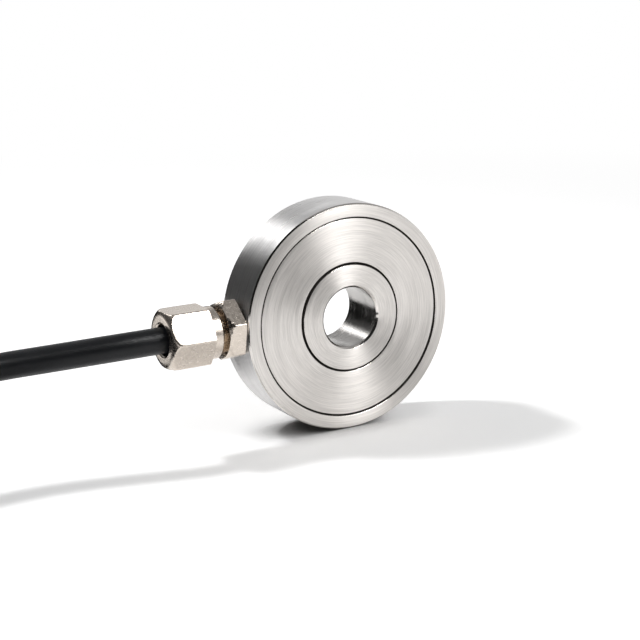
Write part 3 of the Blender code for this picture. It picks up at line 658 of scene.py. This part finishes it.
def nickel_material(name, dull, roughness, peel, mottle, depth, neck_start=None):
    """Warm satin nickel plate: a fine orange-peel grain from the bright-dip, mottled in roughness. Peel and
    mottle are a scale and a contrast each. From neck_start on, the brass shows warm in the thread, where
    the plate wears through."""
    made, tree = new_material(name)
    skin = add_grain(tree, *peel)
    mask = add_grain(tree, *mottle)
    tone = blend_colours(tree, mask, dull, NICKEL_COLOUR)
    if neck_start:
        place = add_node(tree, "SeparateXYZ", {"Vector": add_node(tree, "TexCoord").outputs["Object"]})
        on_neck = blend_values(tree, place.outputs["X"], 0.0, 1.0, (neck_start, neck_start - WEAR_STEP))
        tone = blend_colours(tree, on_neck, tone, WORN_BRASS_COLOUR)
    inputs = {
        "Base Color": tone,
        "Roughness": blend_values(tree, mask, *roughness),
        "Metallic": 1.0,
        "Normal": bump(tree, skin, depth, 0.8),
    }
    return finish_material(made, inputs)


def straight(start, end, count):
    """Evenly spaced points from one (radius, place) to another."""
    return np.linspace(start, end, count)


def arc(centre, radius, first, last, count):
    """Points on an arc about a (radius, place), between two angles in degrees from outwards to forwards."""
    angle = np.radians(np.linspace(first, last, count))
    return np.array(centre) + radius * np.stack([np.cos(angle), np.sin(angle)], axis=1)


plate_grain = (9000.0, 2.4), (1800.0, 2.6), 0.0000025
nickel = nickel_material("nickel_plate", (0.62, 0.550, 0.485, 1.0), (0.20, 0.30), *plate_grain)
clear = 1.03 * CAP_CORNER_RADIUS
dome_centre = (CAP_CORNER_RADIUS - CAP_ROUNDING, CAP_END - CAP_ROUNDING)
shoulder_centre = (clear - CAP_SHOULDER_ROUNDING, CAP_HEX_START + CAP_SHOULDER_ROUNDING)
# Corners of the cap nut as radius and place, from the mouth over the dome and back through the bore.
cap_profile = [
    *straight((CAP_MOUTH_RADIUS + CAP_MOUTH_EDGE, CAP_END), (dome_centre[0] - FINE_EDGE, CAP_END), 8),
    *arc(dome_centre, CAP_ROUNDING, 90, 0, 14),
    *straight((clear, dome_centre[1] - 0.0003), (clear, shoulder_centre[1]), 24),
    *arc(shoulder_centre, CAP_SHOULDER_ROUNDING, 0, -90, 6),
    *straight((clear - 0.0006, CAP_HEX_START), (SKIRT_RADIUS + FINE_EDGE, CAP_HEX_START), 8),
    (SKIRT_RADIUS, CAP_HEX_START - FINE_EDGE),
    (SKIRT_RADIUS, SKIRT_START + SKIRT_EDGE),
    (SKIRT_RADIUS - SKIRT_EDGE, SKIRT_START),
    (NECK_RADIUS + 0.00055, SKIRT_START),
    (NECK_RADIUS + THREAD_CLEARANCE, SKIRT_START + 0.00025),
    (NECK_RADIUS + THREAD_CLEARANCE, CLAMP_RING_START),
    (SOCKET_RADIUS, CLAMP_RING_START),
    (SOCKET_RADIUS, CAP_LIP),
    (CAP_MOUTH_RADIUS, CAP_LIP),
    (CAP_MOUTH_RADIUS, CAP_END - 0.0003),
    (CAP_MOUTH_RADIUS + 0.0002, CAP_END - 0.00006),
]
cap_nut = hexagon_piece("cap_nut", cap_profile, CAP_HEX_TURN)
cap_nut.data.materials.append(nickel)
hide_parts("gland_cap_nut")

# Gland body
# Turned from hexagon bar of nickel-plated brass: a spigot screwed into the rim's port, a thin hexagon
# with chamfered corners on the cable side, and a threaded neck that disappears into the cap nut.
SPIGOT_RADIUS = 0.00375
GLAND_START = 0.0192
BASE_HEX_START = 0.02335
BASE_HEX_END = 0.0268
BASE_HEX_CHAMFER = 0.0009
CHAMFER_LENGTH = 0.0010
NECK_END = 0.0336
PASSAGE_RADIUS = 0.0029
PASSAGE_EDGE = 0.0002
PASSAGE_FLARE = (0.0006, 0.0016)
SPIGOT_LEAD_IN = 0.0003
THREAD_PITCH = 0.00060
THREAD_DEPTH = 0.00032
ROWS_PER_PITCH = 12
UNDERCUT = 0.0004

hex_land = CAP_CORNER_RADIUS - BASE_HEX_CHAMFER
thread_run = np.arange(NECK_END - 0.0001, BASE_HEX_END + 0.0005, -THREAD_PITCH / ROWS_PER_PITCH)
undercut = [(NECK_RADIUS - UNDERCUT, BASE_HEX_END + 0.0004), (NECK_RADIUS - UNDERCUT, BASE_HEX_END + 0.00005)]
# Corners of the gland body as radius and place, from the chamfer over the hexagon and the spigot and
# back through the passage and along the thread.
body_profile = [
    (hex_land - 0.0010, BASE_HEX_END),
    (hex_land - FINE_EDGE, BASE_HEX_END),
    (hex_land, BASE_HEX_END - 0.00008),
    (CAP_CORNER_RADIUS - BASE_HEX_CHAMFER / 2, BASE_HEX_END - 0.5 * CHAMFER_LENGTH),
    (CAP_CORNER_RADIUS, BASE_HEX_END - CHAMFER_LENGTH),
    (clear, BASE_HEX_END - CHAMFER_LENGTH - FINE_EDGE),
    *straight((clear, BASE_HEX_END - 0.0013), (clear, BASE_HEX_START + 0.00022), 12),
    (clear - 0.0002, BASE_HEX_START + 0.00005),
    (clear - 0.00045, BASE_HEX_START),
    (0.0053, BASE_HEX_START),
    (SPIGOT_RADIUS + FINE_EDGE, BASE_HEX_START),
    (SPIGOT_RADIUS, BASE_HEX_START - FINE_EDGE),
    (SPIGOT_RADIUS, GLAND_START + SPIGOT_LEAD_IN),
    (SPIGOT_RADIUS - SPIGOT_LEAD_IN, GLAND_START),
    (PASSAGE_RADIUS + PASSAGE_EDGE, GLAND_START),
    (PASSAGE_RADIUS, GLAND_START + PASSAGE_EDGE),
    (PASSAGE_RADIUS, NECK_END - PASSAGE_FLARE[1]),
    (PASSAGE_RADIUS + PASSAGE_FLARE[0], NECK_END),
    (NECK_RADIUS - 0.0002, NECK_END),
    *[(NECK_RADIUS, place) for place in thread_run],
    *undercut,
]
gland_body = hexagon_piece("gland_body_bar", body_profile, BASE_HEX_TURN)


def cut_thread(piece, first_row, row_count):
    """Lowers the neck's rows into a helical thread: a rounded tooth, as deep as THREAD_DEPTH, that moves
    one pitch along the axis for each turn round it."""
    points = mesh_points(piece.data)
    rows = points[: len(body_profile) * GLAND_AROUND].reshape(len(body_profile), GLAND_AROUND, 3)
    neck = rows[first_row : first_row + row_count]
    y, z = neck[:, :, 1], neck[:, :, 2] - RING_HEIGHT
    radius, angle = np.hypot(y, z), np.arctan2(y, z)
    phase = (-neck[:, :, 0] / THREAD_PITCH + angle / (2 * np.pi)) % 1.0
    depth = THREAD_DEPTH * np.clip(1.25 * np.abs(2 * phase - 1) - 0.1, 0.0, 1.0)
    ratio = (radius - depth) / radius
    neck[:, :, 1] = y * ratio
    neck[:, :, 2] = RING_HEIGHT + z * ratio
    piece.data.vertices.foreach_set("co", points.ravel())


cut_thread(gland_body, len(body_profile) - len(undercut) - len(thread_run), len(thread_run))
worn_grain = (7000.0, 2.6), (1800.0, 3.0), 0.000003
worn_colour, worn_roughness = (0.60, 0.535, 0.47, 1.0), (0.16, 0.30)
worn_nickel = nickel_material(
    "nickel_plate_with_thread", worn_colour, worn_roughness, *worn_grain, neck_start=-BASE_HEX_END
)
gland_body.data.materials.append(worn_nickel)
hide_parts("gland_body")

# Gland seal, clamp ring and face washer
# The rubber bush that the cap nut squeezes onto the lead, the turned brass ring that it presses against,
# and the thin rubber washer between the base hexagon and the spot face on the rim.
CLAMP_RING_LENGTH = 0.0007
SEAL_START = 0.0349
SEAL_END = 0.03745
SEAL_RADIUS = 0.0039
SEAL_AROUND = 120
PORT_RADIUS = 0.00405
WASHER_RADIUS = 0.0046
WASHER_SPAN = (0.02255, 0.02305)
PLAIN_ROUNDING = 0.00008


def gland_ring(name, form, rounding, steps, finish, node):
    """A plain ring on the gland's axis with rounded edges. Its form is the outer and the inner radius, the
    start and the end."""
    outer, inner, start, end = form
    corners = [(outer, end), (outer, start), (inner, start), (inner, end)]
    piece = lathe(name, soft_outline(corners, rounding, steps), SEAL_AROUND, "gland")
    piece.data.materials.append(finish)
    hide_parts(node)
    return piece


rubber_tones = (0.010, 0.010, 0.009, 1.0), (0.022, 0.022, 0.020, 1.0)
rubber = mottled_material("black_rubber", (2400.0, 2.2), *rubber_tones, (0.5, 0.7), depth=0.00002)
brass_tones = (0.66, 0.46, 0.20, 1.0), (0.74, 0.54, 0.27, 1.0)
brass = mottled_material("turned_brass", (1500.0, 2.0), *brass_tones, (0.25, 0.38), 1.0)
seal_form = (SEAL_RADIUS, PASSAGE_RADIUS, SEAL_START, SEAL_END)
seal_rounding = [0.0003, 0.0001, 0.0001, 0.0002]
seal = gland_ring("seal_bush", seal_form, seal_rounding, 5, rubber, "gland_seal")
clamp_ends = (CLAMP_RING_START, CLAMP_RING_START + CLAMP_RING_LENGTH)
clamp_form = (SEAL_RADIUS, PASSAGE_RADIUS, *clamp_ends)
clamp_ring = gland_ring("clamp_ring", clamp_form, PLAIN_ROUNDING, 3, brass, "gland_clamp_ring")
washer_form = (WASHER_RADIUS, PORT_RADIUS, *WASHER_SPAN)
face_washer = gland_ring(
    "face_washer", washer_form, PLAIN_ROUNDING, 3, rubber, "gland_face_washer"
)

# Sensing body
# One turned piece of stainless steel: load ring round the bore, thin web, rim wall and rear face. The
# faces are turned and brushed in circles, and the rim is brushed round its circumference.
RIM_RADIUS = 0.023
FRONT = 0.00565
REAR = -0.00565
BORE_RADIUS = 0.0061
HUB_RADIUS = 0.01072
RECESS_RADIUS = 0.02027
COVER_THICKNESS = 0.0009
COLUMN_RADIUS = 0.0120
CAVITY_RADIUS = 0.0174
CAVITY_FLOOR = -0.0034
COVER_SEAT = FRONT - COVER_THICKNESS - SEAT_GAP
RIM_CHAMFER = 0.0003
BORE_CHAMFER = 0.0004
RELIEF_SPAN = (0.0107, 0.0201)
RELIEF_DEPTH = 0.0004
RELIEF_SLOPE = 0.0004
RELIEF_EDGE = 0.00008
RELIEF_ROUNDING = 0.0002
FINE_ROUNDING = 0.00005
SEAT_ROUNDING = 0.00010
LIP_ROUNDING = 0.00014
CAVITY_ROUNDING = 0.0008
RING_STEP = 0.0012
RING_AROUND = 720
EDGE_ZONE = 0.0006
BROKEN_EDGE_DEPTH = 0.00045
STEEL_COLOUR = (0.785, 0.752, 0.720, 1.0)
RIM_COLOUR = (0.775, 0.765, 0.762, 1.0)
# The bore's colour is darker than the faces': painted shade inside the bore.
SHADED_BORE_COLOUR = (0.52, 0.505, 0.49, 1.0)


def turning_marks_group():
    """Shared effect: circular turning marks round an axis along Y through the origin of its Vector.

    The direction from the axis, times Length, and the distance from the axis plus the place along it,
    times Density, are the coordinates of a noise, so that it is drawn out along circles. Two such noises,
    a broad and a fine one, come out as Bands and Hairlines."""
    tree, taken, given = new_group("turning_marks", ("Vector", "Length", "Density"), ("Bands", "Hairlines"))
    x, y, z = add_node(tree, "SeparateXYZ", {"Vector": taken["Vector"]}).outputs
    squares = add_math(tree, "ADD", add_math(tree, "MULTIPLY", x, x), add_math(tree, "MULTIPLY", z, z))
    distance = add_node(tree, "Math", {0: squares}, operation="SQRT").outputs[0]
    across = add_math(tree, "ADD", distance, y)
    for name, thinner, shorter in (("Bands", 0.12, 1.0), ("Hairlines", 1.0, 3.0)):
        length = add_math(tree, "MULTIPLY", taken["Length"], shorter)
        density = add_math(tree, "MULTIPLY", taken["Density"], thinner)
        place = {
            "X": add_math(tree, "MULTIPLY", add_math(tree, "DIVIDE", x, distance), length),
            "Y": add_math(tree, "MULTIPLY", add_math(tree, "DIVIDE", z, distance), length),
            "Z": add_math(tree, "MULTIPLY", across, density),
        }
        vector = add_node(tree, "CombineXYZ", place).outputs["Vector"]
        inputs = {"Vector": vector, "Scale": 1.0, "Detail": 4.0, "Roughness": 0.65}
        tree.links.new(add_node(tree, "TexNoise", inputs).outputs["Fac"], given[name])
    return tree


TURNING_MARKS = turning_marks_group()


def steel_material(name, colour, roughness, anisotropy, density, depth):
    """Brushed stainless steel. The marks vary its tone, roughness and height, and the highlight is drawn
    out across them, because the shader's tangent follows the UV map round the piece."""
    made, tree = new_material(name)
    place = add_node(tree, "TexCoord").outputs["Object"]
    centre = add_node(tree, "Mapping", {"Vector": place, "Location": (0.0, 0.0, -RING_HEIGHT)})
    inputs = {"Vector": centre.outputs["Vector"], "Length": 0.8, "Density": density}
    marks = add_node(tree, "Group", inputs, node_tree=TURNING_MARKS)
    darker = tuple(0.80 * c for c in colour[:3]) + (1.0,)
    lines = blend_values(tree, marks.outputs["Hairlines"], 0.0, 1.0, (0.36, 0.64))
    tangent = add_node(tree, "Tangent", direction_type="UV_MAP", uv_map="surface")
    inputs = {
        "Base Color": blend_colours(tree, lines, darker, colour),
        "Roughness": blend_values(tree, marks.outputs["Bands"], *roughness, (0.35, 0.65)),
        "Metallic": 1.0,
        "Anisotropic": anisotropy,
        "Anisotropic Rotation": 0.25,
        "Tangent": tangent.outputs["Tangent"],
        "Normal": bump(tree, lines, depth),
    }
    return finish_material(made, inputs)


def give_finishes(piece, finishes):
    """Gives each face its finish: 0 the turned faces, 1 the rim, 2 the narrow broken edges, 3 the walls of
    the two grooves, 4 the bore. Faces are told apart by their distance from the bore's axis, their place
    along it and how far they lean."""
    mesh = piece.data
    mesh.materials.clear()
    for finish in finishes:
        mesh.materials.append(finish)
    count = len(mesh.polygons)
    middle, normal = np.zeros(count * 3), np.zeros(count * 3)
    mesh.polygons.foreach_get("center", middle)
    mesh.polygons.foreach_get("normal", normal)
    middle, normal = middle.reshape(-1, 3), normal.reshape(-1, 3)
    distance = np.hypot(middle[:, 0], middle[:, 2] - RING_HEIGHT)
    depth = FRONT - np.abs(middle[:, 1])
    lean = np.abs(normal[:, 1])
    outside = distance > RIM_RADIUS - EDGE_ZONE
    inside = distance < BORE_RADIUS + EDGE_ZONE
    front_wall = (middle[:, 1] < 0) & (lean < 0.35)
    groove = (front_wall | (depth > EDGE_ZONE)) & ~outside & ~inside
    kind = np.zeros(count, np.int32)
    kind[outside & (lean <= 0.2)] = 1
    kind[(depth < BROKEN_EDGE_DEPTH) & (lean > 0.2) & (lean < 0.96)] = 2
    kind[groove] = 3
    kind[inside & (lean <= 0.2)] = 4
    mesh.polygons.foreach_set("material_index", kind)


steel = steel_material("brushed_stainless", STEEL_COLOUR, (0.34, 0.44), 0.93, 5600.0, 0.000004)
rim_steel = steel_material("brushed_rim", RIM_COLOUR, (0.27, 0.42), 0.93, 4600.0, 0.000010)
edge_steel = steel_material("polished_edge", STEEL_COLOUR, (0.10, 0.16), 0.0, 4600.0, 0.000001)
# The bore's steel is painted darker than the faces: painted shade inside the bore.
shaded_bore_steel = steel_material("turned_bore_painted_shade", SHADED_BORE_COLOUR, (0.14, 0.30), 0.5, 4600.0, 0.000006)
# Painted shade: the walls of the two grooves get a dark colour for the shade in these narrow grooves.
groove_shade_tones = (0.048, 0.042, 0.038, 1.0), (0.080, 0.072, 0.064, 1.0)
groove_shade_finish = mottled_material("groove_painted_shade", (3000.0, 2.0), *groove_shade_tones, 0.8)
finish_material(groove_shade_finish, {"Specular IOR Level": 0.2})
ring_finishes = (steel, rim_steel, edge_steel, groove_shade_finish, shaded_bore_steel)
body_outline = [
    (RIM_RADIUS - RIM_CHAMFER, FRONT, FINE_ROUNDING),
    (RIM_RADIUS, FRONT - RIM_CHAMFER, FINE_ROUNDING),
    (RIM_RADIUS, REAR + RIM_CHAMFER, FINE_ROUNDING),
    (RIM_RADIUS - RIM_CHAMFER, REAR, FINE_ROUNDING),
    (RELIEF_SPAN[1], REAR, RELIEF_EDGE),
    (RELIEF_SPAN[1] - RELIEF_SLOPE, REAR + RELIEF_DEPTH, RELIEF_ROUNDING),
    (RELIEF_SPAN[0] + RELIEF_SLOPE, REAR + RELIEF_DEPTH, RELIEF_ROUNDING),
    (RELIEF_SPAN[0], REAR, RELIEF_EDGE),
    (BORE_RADIUS + BORE_CHAMFER, REAR, FINE_ROUNDING),
    (BORE_RADIUS, REAR + BORE_CHAMFER, FINE_ROUNDING),
    (BORE_RADIUS, FRONT - BORE_CHAMFER, FINE_ROUNDING),
    (BORE_RADIUS + BORE_CHAMFER, FRONT, FINE_ROUNDING),
    (HUB_RADIUS, FRONT, LIP_ROUNDING),
    (HUB_RADIUS, COVER_SEAT, SEAT_ROUNDING),
    (COLUMN_RADIUS, COVER_SEAT, SEAT_ROUNDING),
    (COLUMN_RADIUS, CAVITY_FLOOR, CAVITY_ROUNDING),
    (CAVITY_RADIUS, CAVITY_FLOOR, CAVITY_ROUNDING),
    (CAVITY_RADIUS, COVER_SEAT, SEAT_ROUNDING),
    (RECESS_RADIUS, COVER_SEAT, SEAT_ROUNDING),
    (RECESS_RADIUS, FRONT, LIP_ROUNDING),
]
body_outline = np.array(body_outline)
body_line = soft_outline(body_outline[:, :2], body_outline[:, 2], 3, RING_STEP)
sensing_body = lathe("load_ring", body_line, RING_AROUND, "bore")

SPOT_FACE_RADIUS = 0.0049
SPOT_FACE_PLACE = 0.02225
PORT_END = 0.0189
CORE_HOLE_RADIUS = 0.0026
CORE_HOLE_END = 0.0166
CUTTER_AXIS_RADIUS = 0.0001
CUTTER_REACH = 0.0290


def cut_port(piece):
    """Cuts the stepped port for the gland into the rim: spot face, spigot bore and hole for the cores."""
    steps = [
        (SPOT_FACE_RADIUS, CUTTER_REACH),
        (SPOT_FACE_RADIUS, SPOT_FACE_PLACE),
        (PORT_RADIUS, SPOT_FACE_PLACE),
        (PORT_RADIUS, PORT_END),
        (CORE_HOLE_RADIUS, PORT_END),
        (CORE_HOLE_RADIUS, CORE_HOLE_END),
        (CUTTER_AXIS_RADIUS, CORE_HOLE_END),
        (CUTTER_AXIS_RADIUS, CUTTER_REACH),
    ]
    cutter = lathe("port_cutter", steps, SEAL_AROUND, "gland")
    boolean = piece.modifiers.new("port", "BOOLEAN")
    boolean.object = cutter
    boolean.solver = "EXACT"
    bpy.context.view_layer.update()
    graph = bpy.context.evaluated_depsgraph_get()
    cut = bpy.data.meshes.new_from_object(piece.evaluated_get(graph))
    piece.modifiers.clear()
    piece.data = cut
    bpy.data.objects.remove(cutter, do_unlink=True)


cut_port(sensing_body)
give_finishes(sensing_body, ring_finishes)
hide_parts("sensing_body")

# Cover plate
# Flat annular plate of the same steel that closes the gauge cavity. It lies in its recess flush with both
# rings, a little off centre, and a fine groove runs along each of its edges, with painted shade on its walls.
GROOVE_WIDTH = 0.0003
INNER_GROOVE_WIDTH = 0.0004
COVER_LIP = 0.00012
COVER_OFFSET = (-0.00013, 0.0, 0.00008)
cover_corners = [
    (RECESS_RADIUS - GROOVE_WIDTH, FRONT),
    (RECESS_RADIUS - GROOVE_WIDTH, FRONT - COVER_THICKNESS),
    (HUB_RADIUS + INNER_GROOVE_WIDTH, FRONT - COVER_THICKNESS),
    (HUB_RADIUS + INNER_GROOVE_WIDTH, FRONT),
]
cover_rounding = [COVER_LIP, FINE_ROUNDING, FINE_ROUNDING, COVER_LIP]
cover_line = soft_outline(cover_corners, cover_rounding, 3, RING_STEP)
cover_plate = lathe("closing_plate", cover_line, RING_AROUND, "bore")
cover_plate.data.transform(Matrix.Translation(COVER_OFFSET))
give_finishes(cover_plate, ring_finishes)
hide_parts("cover_plate")

# Parts in the cavity
# Polyimide foil gauges glued to the hub column with their enamelled leads, the glass-fibre board with its
# trimming resistors, and the ends of the cores. They are closed in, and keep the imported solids' shapes.
film_tones = (0.52, 0.24, 0.04, 1.0), (0.66, 0.36, 0.09, 1.0)
enamel_tones = (0.40, 0.13, 0.04, 1.0), (0.52, 0.20, 0.07, 1.0)
laminate_tones = (0.03, 0.18, 0.08, 1.0), (0.05, 0.26, 0.12, 1.0)
chip_tones = (0.02, 0.02, 0.022, 1.0), (0.04, 0.04, 0.045, 1.0)
gauge_film = mottled_material("gauge_film", (1800.0, 2.0), *film_tones, 0.4)
enamel = mottled_material("enamelled_wire", (2500.0, 2.0), *enamel_tones, 0.32, 1.0)
laminate = mottled_material("glass_laminate", (2200.0, 2.0), *laminate_tones, 0.45)
chip = mottled_material("chip_resistor", (2500.0, 2.0), *chip_tones, 0.4)
inner_finishes = {"terminal_board": laminate, "inner_drain_wire": tinned}
for number in range(1, 5):
    inner_finishes[f"strain_gauge_{number}"] = gauge_film
    inner_finishes[f"trim_resistor_{number}"] = chip
    inner_finishes[f"gauge_lead_{number}a"] = enamel
    inner_finishes[f"gauge_lead_{number}b"] = enamel
for name in CORE_COLOURS:
    inner_finishes[f"inner_core_{name}"] = insulation[name]
for node, finish in inner_finishes.items():
    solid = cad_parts[node].data
    solid.materials.clear()
    solid.materials.append(finish)

# Floor and studio
# A white table that runs out into white, with a contact shadow painted into its colour beside the ring's
# foot, a small strong lamp high behind on the left and a soft box high in front on the right. Cards that
# only reflections see give the metal something to reflect: white ones for the rim's band and the lead's
# streak, and dark ones for the dark fans, facets and edges.
FLOOR_REACH = 3.0
FLOOR_GREY = (0.80, 0.80, 0.80, 1.0)
FLOOR_GAIN = 1.32
# Painted contact shadow: its darkest floor colour, the reach of the occlusion that places it, the span of
# that occlusion over which it fades, and how much it stays lifted right of the contact.
PAINTED_CONTACT_SHADOW = (0.12, 0.115, 0.11, 1.0)
CONTACT_SHADOW_REACH = 0.010
CONTACT_SHADOW_SPAN = (0.18, 0.82)
RIGHT_UNSHADED_SHARE = 0.85
SHADOW_REACH = (0.16, 0.42)
AMBIENT_STRENGTH = 0.56
SKY_SPAN = (0.10, 0.85)
SKY_TOP = 0.32
KEY_DIRECTION = (-0.394, 0.473, 0.788)
SOFT_BOX_DIRECTION = (0.46, -0.72, 0.52)
RING_MIDDLE = (0.0, 0.0, RING_HEIGHT)
DARK_CARD_GREY = 0.015
BENT_CARD_STEPS = 12
JUST_OVER_FLOOR = 0.0004


def white_where_seen(tree):
    """One for camera, glossy and transmission rays, which see the white studio, and nought for the rays
    that light the object."""
    rays = add_node(tree, "LightPath").outputs
    seen = add_math(tree, "ADD", rays["Is Camera Ray"], rays["Is Glossy Ray"], clamp=True)
    return add_math(tree, "ADD", seen, rays["Is Transmission Ray"], clamp=True)


floor_mesh = bpy.data.meshes.new("floor")
floor_shape = bmesh.new()
bmesh.ops.create_circle(floor_shape, cap_ends=True, segments=96, radius=FLOOR_REACH)
floor_shape.to_mesh(floor_mesh)
floor_shape.free()
floor = bpy.data.objects.new("floor", floor_mesh)
bpy.context.scene.collection.objects.link(floor)
floor_finish, tree = new_material("white_floor")
tree.nodes.clear()
place = add_node(tree, "TexCoord").outputs["Object"]
rightwards = add_node(tree, "SeparateXYZ", {"Vector": place}).outputs["X"]
# Painted contact shadow: the floor's colour is darkened where ambient occlusion finds the ring close by,
# mostly on the left of its foot, on top of the shadows that the lamps cast.
contact_occlusion = add_node(tree, "AmbientOcclusion", {"Distance": CONTACT_SHADOW_REACH}, samples=8).outputs["AO"]
unshaded_by_occlusion = blend_values(tree, contact_occlusion, 0.0, 1.0, CONTACT_SHADOW_SPAN)
unshaded_right_of_contact = blend_values(tree, rightwards, 0.0, RIGHT_UNSHADED_SHARE, (0.0, CONTACT_SHADOW_REACH))
unshaded_share = add_math(tree, "MAXIMUM", unshaded_by_occlusion, unshaded_right_of_contact)
tone = blend_colours(tree, unshaded_share, PAINTED_CONTACT_SHADOW, (FLOOR_GAIN, FLOOR_GAIN, FLOOR_GAIN, 1.0))
bright = add_node(tree, "BsdfDiffuse", {"Color": tone}).outputs[0]
plain = add_node(tree, "BsdfDiffuse", {"Color": FLOOR_GREY}).outputs[0]
glow = add_node(tree, "Emission").outputs[0]
distance = add_node(tree, "VectorMath", {0: place}, operation="LENGTH").outputs["Value"]
fade = blend_values(tree, distance, 0.0, 1.0, SHADOW_REACH, "SMOOTHSTEP")
near_or_far = add_node(tree, "MixShader", {"Fac": fade, 1: bright, 2: glow}).outputs[0]
seen_or_not = add_node(tree, "MixShader", {"Fac": white_where_seen(tree), 1: plain, 2: near_or_far})
add_node(tree, "OutputMaterial", {"Surface": seen_or_not.outputs[0]})
floor.data.materials.append(floor_finish)

world = bpy.data.worlds.new("studio")
world.use_nodes = True
tree = world.node_tree
tree.nodes.clear()
upwards = add_node(tree, "SeparateXYZ", {"Vector": add_node(tree, "TexCoord").outputs["Generated"]})
rise = blend_values(tree, upwards.outputs["Z"], 1.0, SKY_TOP, SKY_SPAN, "SMOOTHSTEP")
soft = add_node(tree, "Background", {"Strength": AMBIENT_STRENGTH}).outputs[0]
shown = add_node(tree, "Background", {"Color": rise}).outputs[0]
sky = add_node(tree, "MixShader", {"Fac": white_where_seen(tree), 1: soft, 2: shown})
add_node(tree, "OutputWorld", {"Surface": sky.outputs[0]})
bpy.context.scene.world = world


def aim(direction, distance, target=RING_MIDDLE):
    """Matrix that puts an object the given distance from the target, with its -Z towards it."""
    away = np.array(direction, float)
    away /= np.linalg.norm(away)
    side = np.cross((0.0, 1e-6, 1.0), away)
    side /= np.linalg.norm(side)
    matrix = np.eye(4)
    matrix[:3, 0] = side
    matrix[:3, 1] = np.cross(away, side)
    matrix[:3, 2] = away
    matrix[:3, 3] = np.array(target) + away * distance
    return Matrix(matrix.tolist())


def add_lamp(name, direction, distance, size, power):
    """A rectangular lamp of the given sides in metres and power in watts, aimed at the ring."""
    lamp = bpy.data.lights.new(name, "AREA")
    lamp.shape = "RECTANGLE"
    lamp.size, lamp.size_y = size
    lamp.energy = power
    made = bpy.data.objects.new(name, lamp)
    made.matrix_world = aim(direction, distance)
    bpy.context.scene.collection.objects.link(made)
    return made


def finish_card(card, grey, glow):
    """Makes a card that only reflections see: dull grey, or glowing white."""
    inputs = {
        "Base Color": (grey, grey, grey, 1.0),
        "Roughness": 0.9,
        "Specular IOR Level": 0.0,
        "Emission Color": (1.0, 1.0, 1.0, 1.0),
        "Emission Strength": glow,
    }
    finish, tree = new_material(card.name)
    card.data.materials.append(finish_material(finish, inputs))
    card.visible_camera = False
    card.visible_shadow = False
    card.visible_diffuse = False
    bpy.context.scene.collection.objects.link(card)


def add_card(name, direction, distance, size, target=RING_MIDDLE, glow=0.0):
    """A flat card, dark unless it glows."""
    x, y = size[0] / 2, size[1] / 2
    corners = [(-x, -y, 0), (x, -y, 0), (x, y, 0), (-x, y, 0)]
    mesh = bpy.data.meshes.new(name)
    mesh.from_pydata(corners, [], [(0, 1, 2, 3)])
    mesh.transform(aim(direction, distance, target))
    finish_card(bpy.data.objects.new(name, mesh), DARK_CARD_GREY, glow)


def add_bent_card(name, turn_span, lean_span, distance, grey, glow):
    """A card bent on a sphere round the ring: it spans an angle about the bore's axis, counted from +X over
    the top, and a lean towards the back. The rim draws its reflections out along that axis, so that each
    such card shows as a band straight across the rim."""
    steps = BENT_CARD_STEPS
    turn, lean = (np.radians(np.linspace(*span, steps + 1)) for span in (turn_span, lean_span))
    turn, lean = np.meshgrid(turn, lean)
    points = np.stack([np.cos(turn) * np.cos(lean), np.sin(lean), np.sin(turn) * np.cos(lean)], axis=-1)
    points = (points * distance + RING_MIDDLE).reshape(-1, 3)
    first = (np.arange(steps)[:, None] * (steps + 1) + np.arange(steps)[None, :]).reshape(-1, 1)
    faces = first + np.array([[0, 1, steps + 2, steps + 1]])
    mesh = bpy.data.meshes.new(name)
    mesh.from_pydata(points.tolist(), [], faces.tolist())
    finish_card(bpy.data.objects.new(name, mesh), grey, glow)


key_lamp = add_lamp("key_lamp", KEY_DIRECTION, 0.60, (0.07, 0.07), 1.5)
key_lamp.visible_glossy = False
add_lamp("soft_box", SOFT_BOX_DIRECTION, 0.70, (0.22, 0.44), 1.1)
add_bent_card("key_strip", (99.0, 116.0), (20.0, 82.0), 0.60, 0.8, 2.9)
add_bent_card("dark_card_left", (127.0, 184.0), (-40.0, 84.0), 0.62, 0.13, 0.0)
add_card("lead_strip", (0.21, -0.58, 0.79), 0.70, (0.28, 0.11), glow=16.0)
add_card("dark_card_top", (-0.18, -0.46, 0.87), 0.90, (0.58, 0.34))
add_card("dark_card_floor", (0.0, 0.0, 1.0), JUST_OVER_FLOOR, (0.040, 0.040), (-0.040, 0.040, 0.0))
add_card("dark_card_high", (-0.70, -0.46, 0.40), 0.50, (0.46, 0.52))
add_card("dark_card_behind", (0.0, 1.0, 0.0), 0.060, (0.092, 0.038), (-0.016, 0.0, 0.0192))
add_card("dark_card_table", (0.0, 0.0, 1.0), JUST_OVER_FLOOR, (0.240, 0.140), (-0.186, -0.010, 0.0))
add_card("dark_card_front", (0.0, -1.0, 0.0), 0.150, (0.192, 0.110), (-0.054, 0.0, 0.0670))

scene = bpy.context.scene
scene.view_settings.view_transform = "Standard"
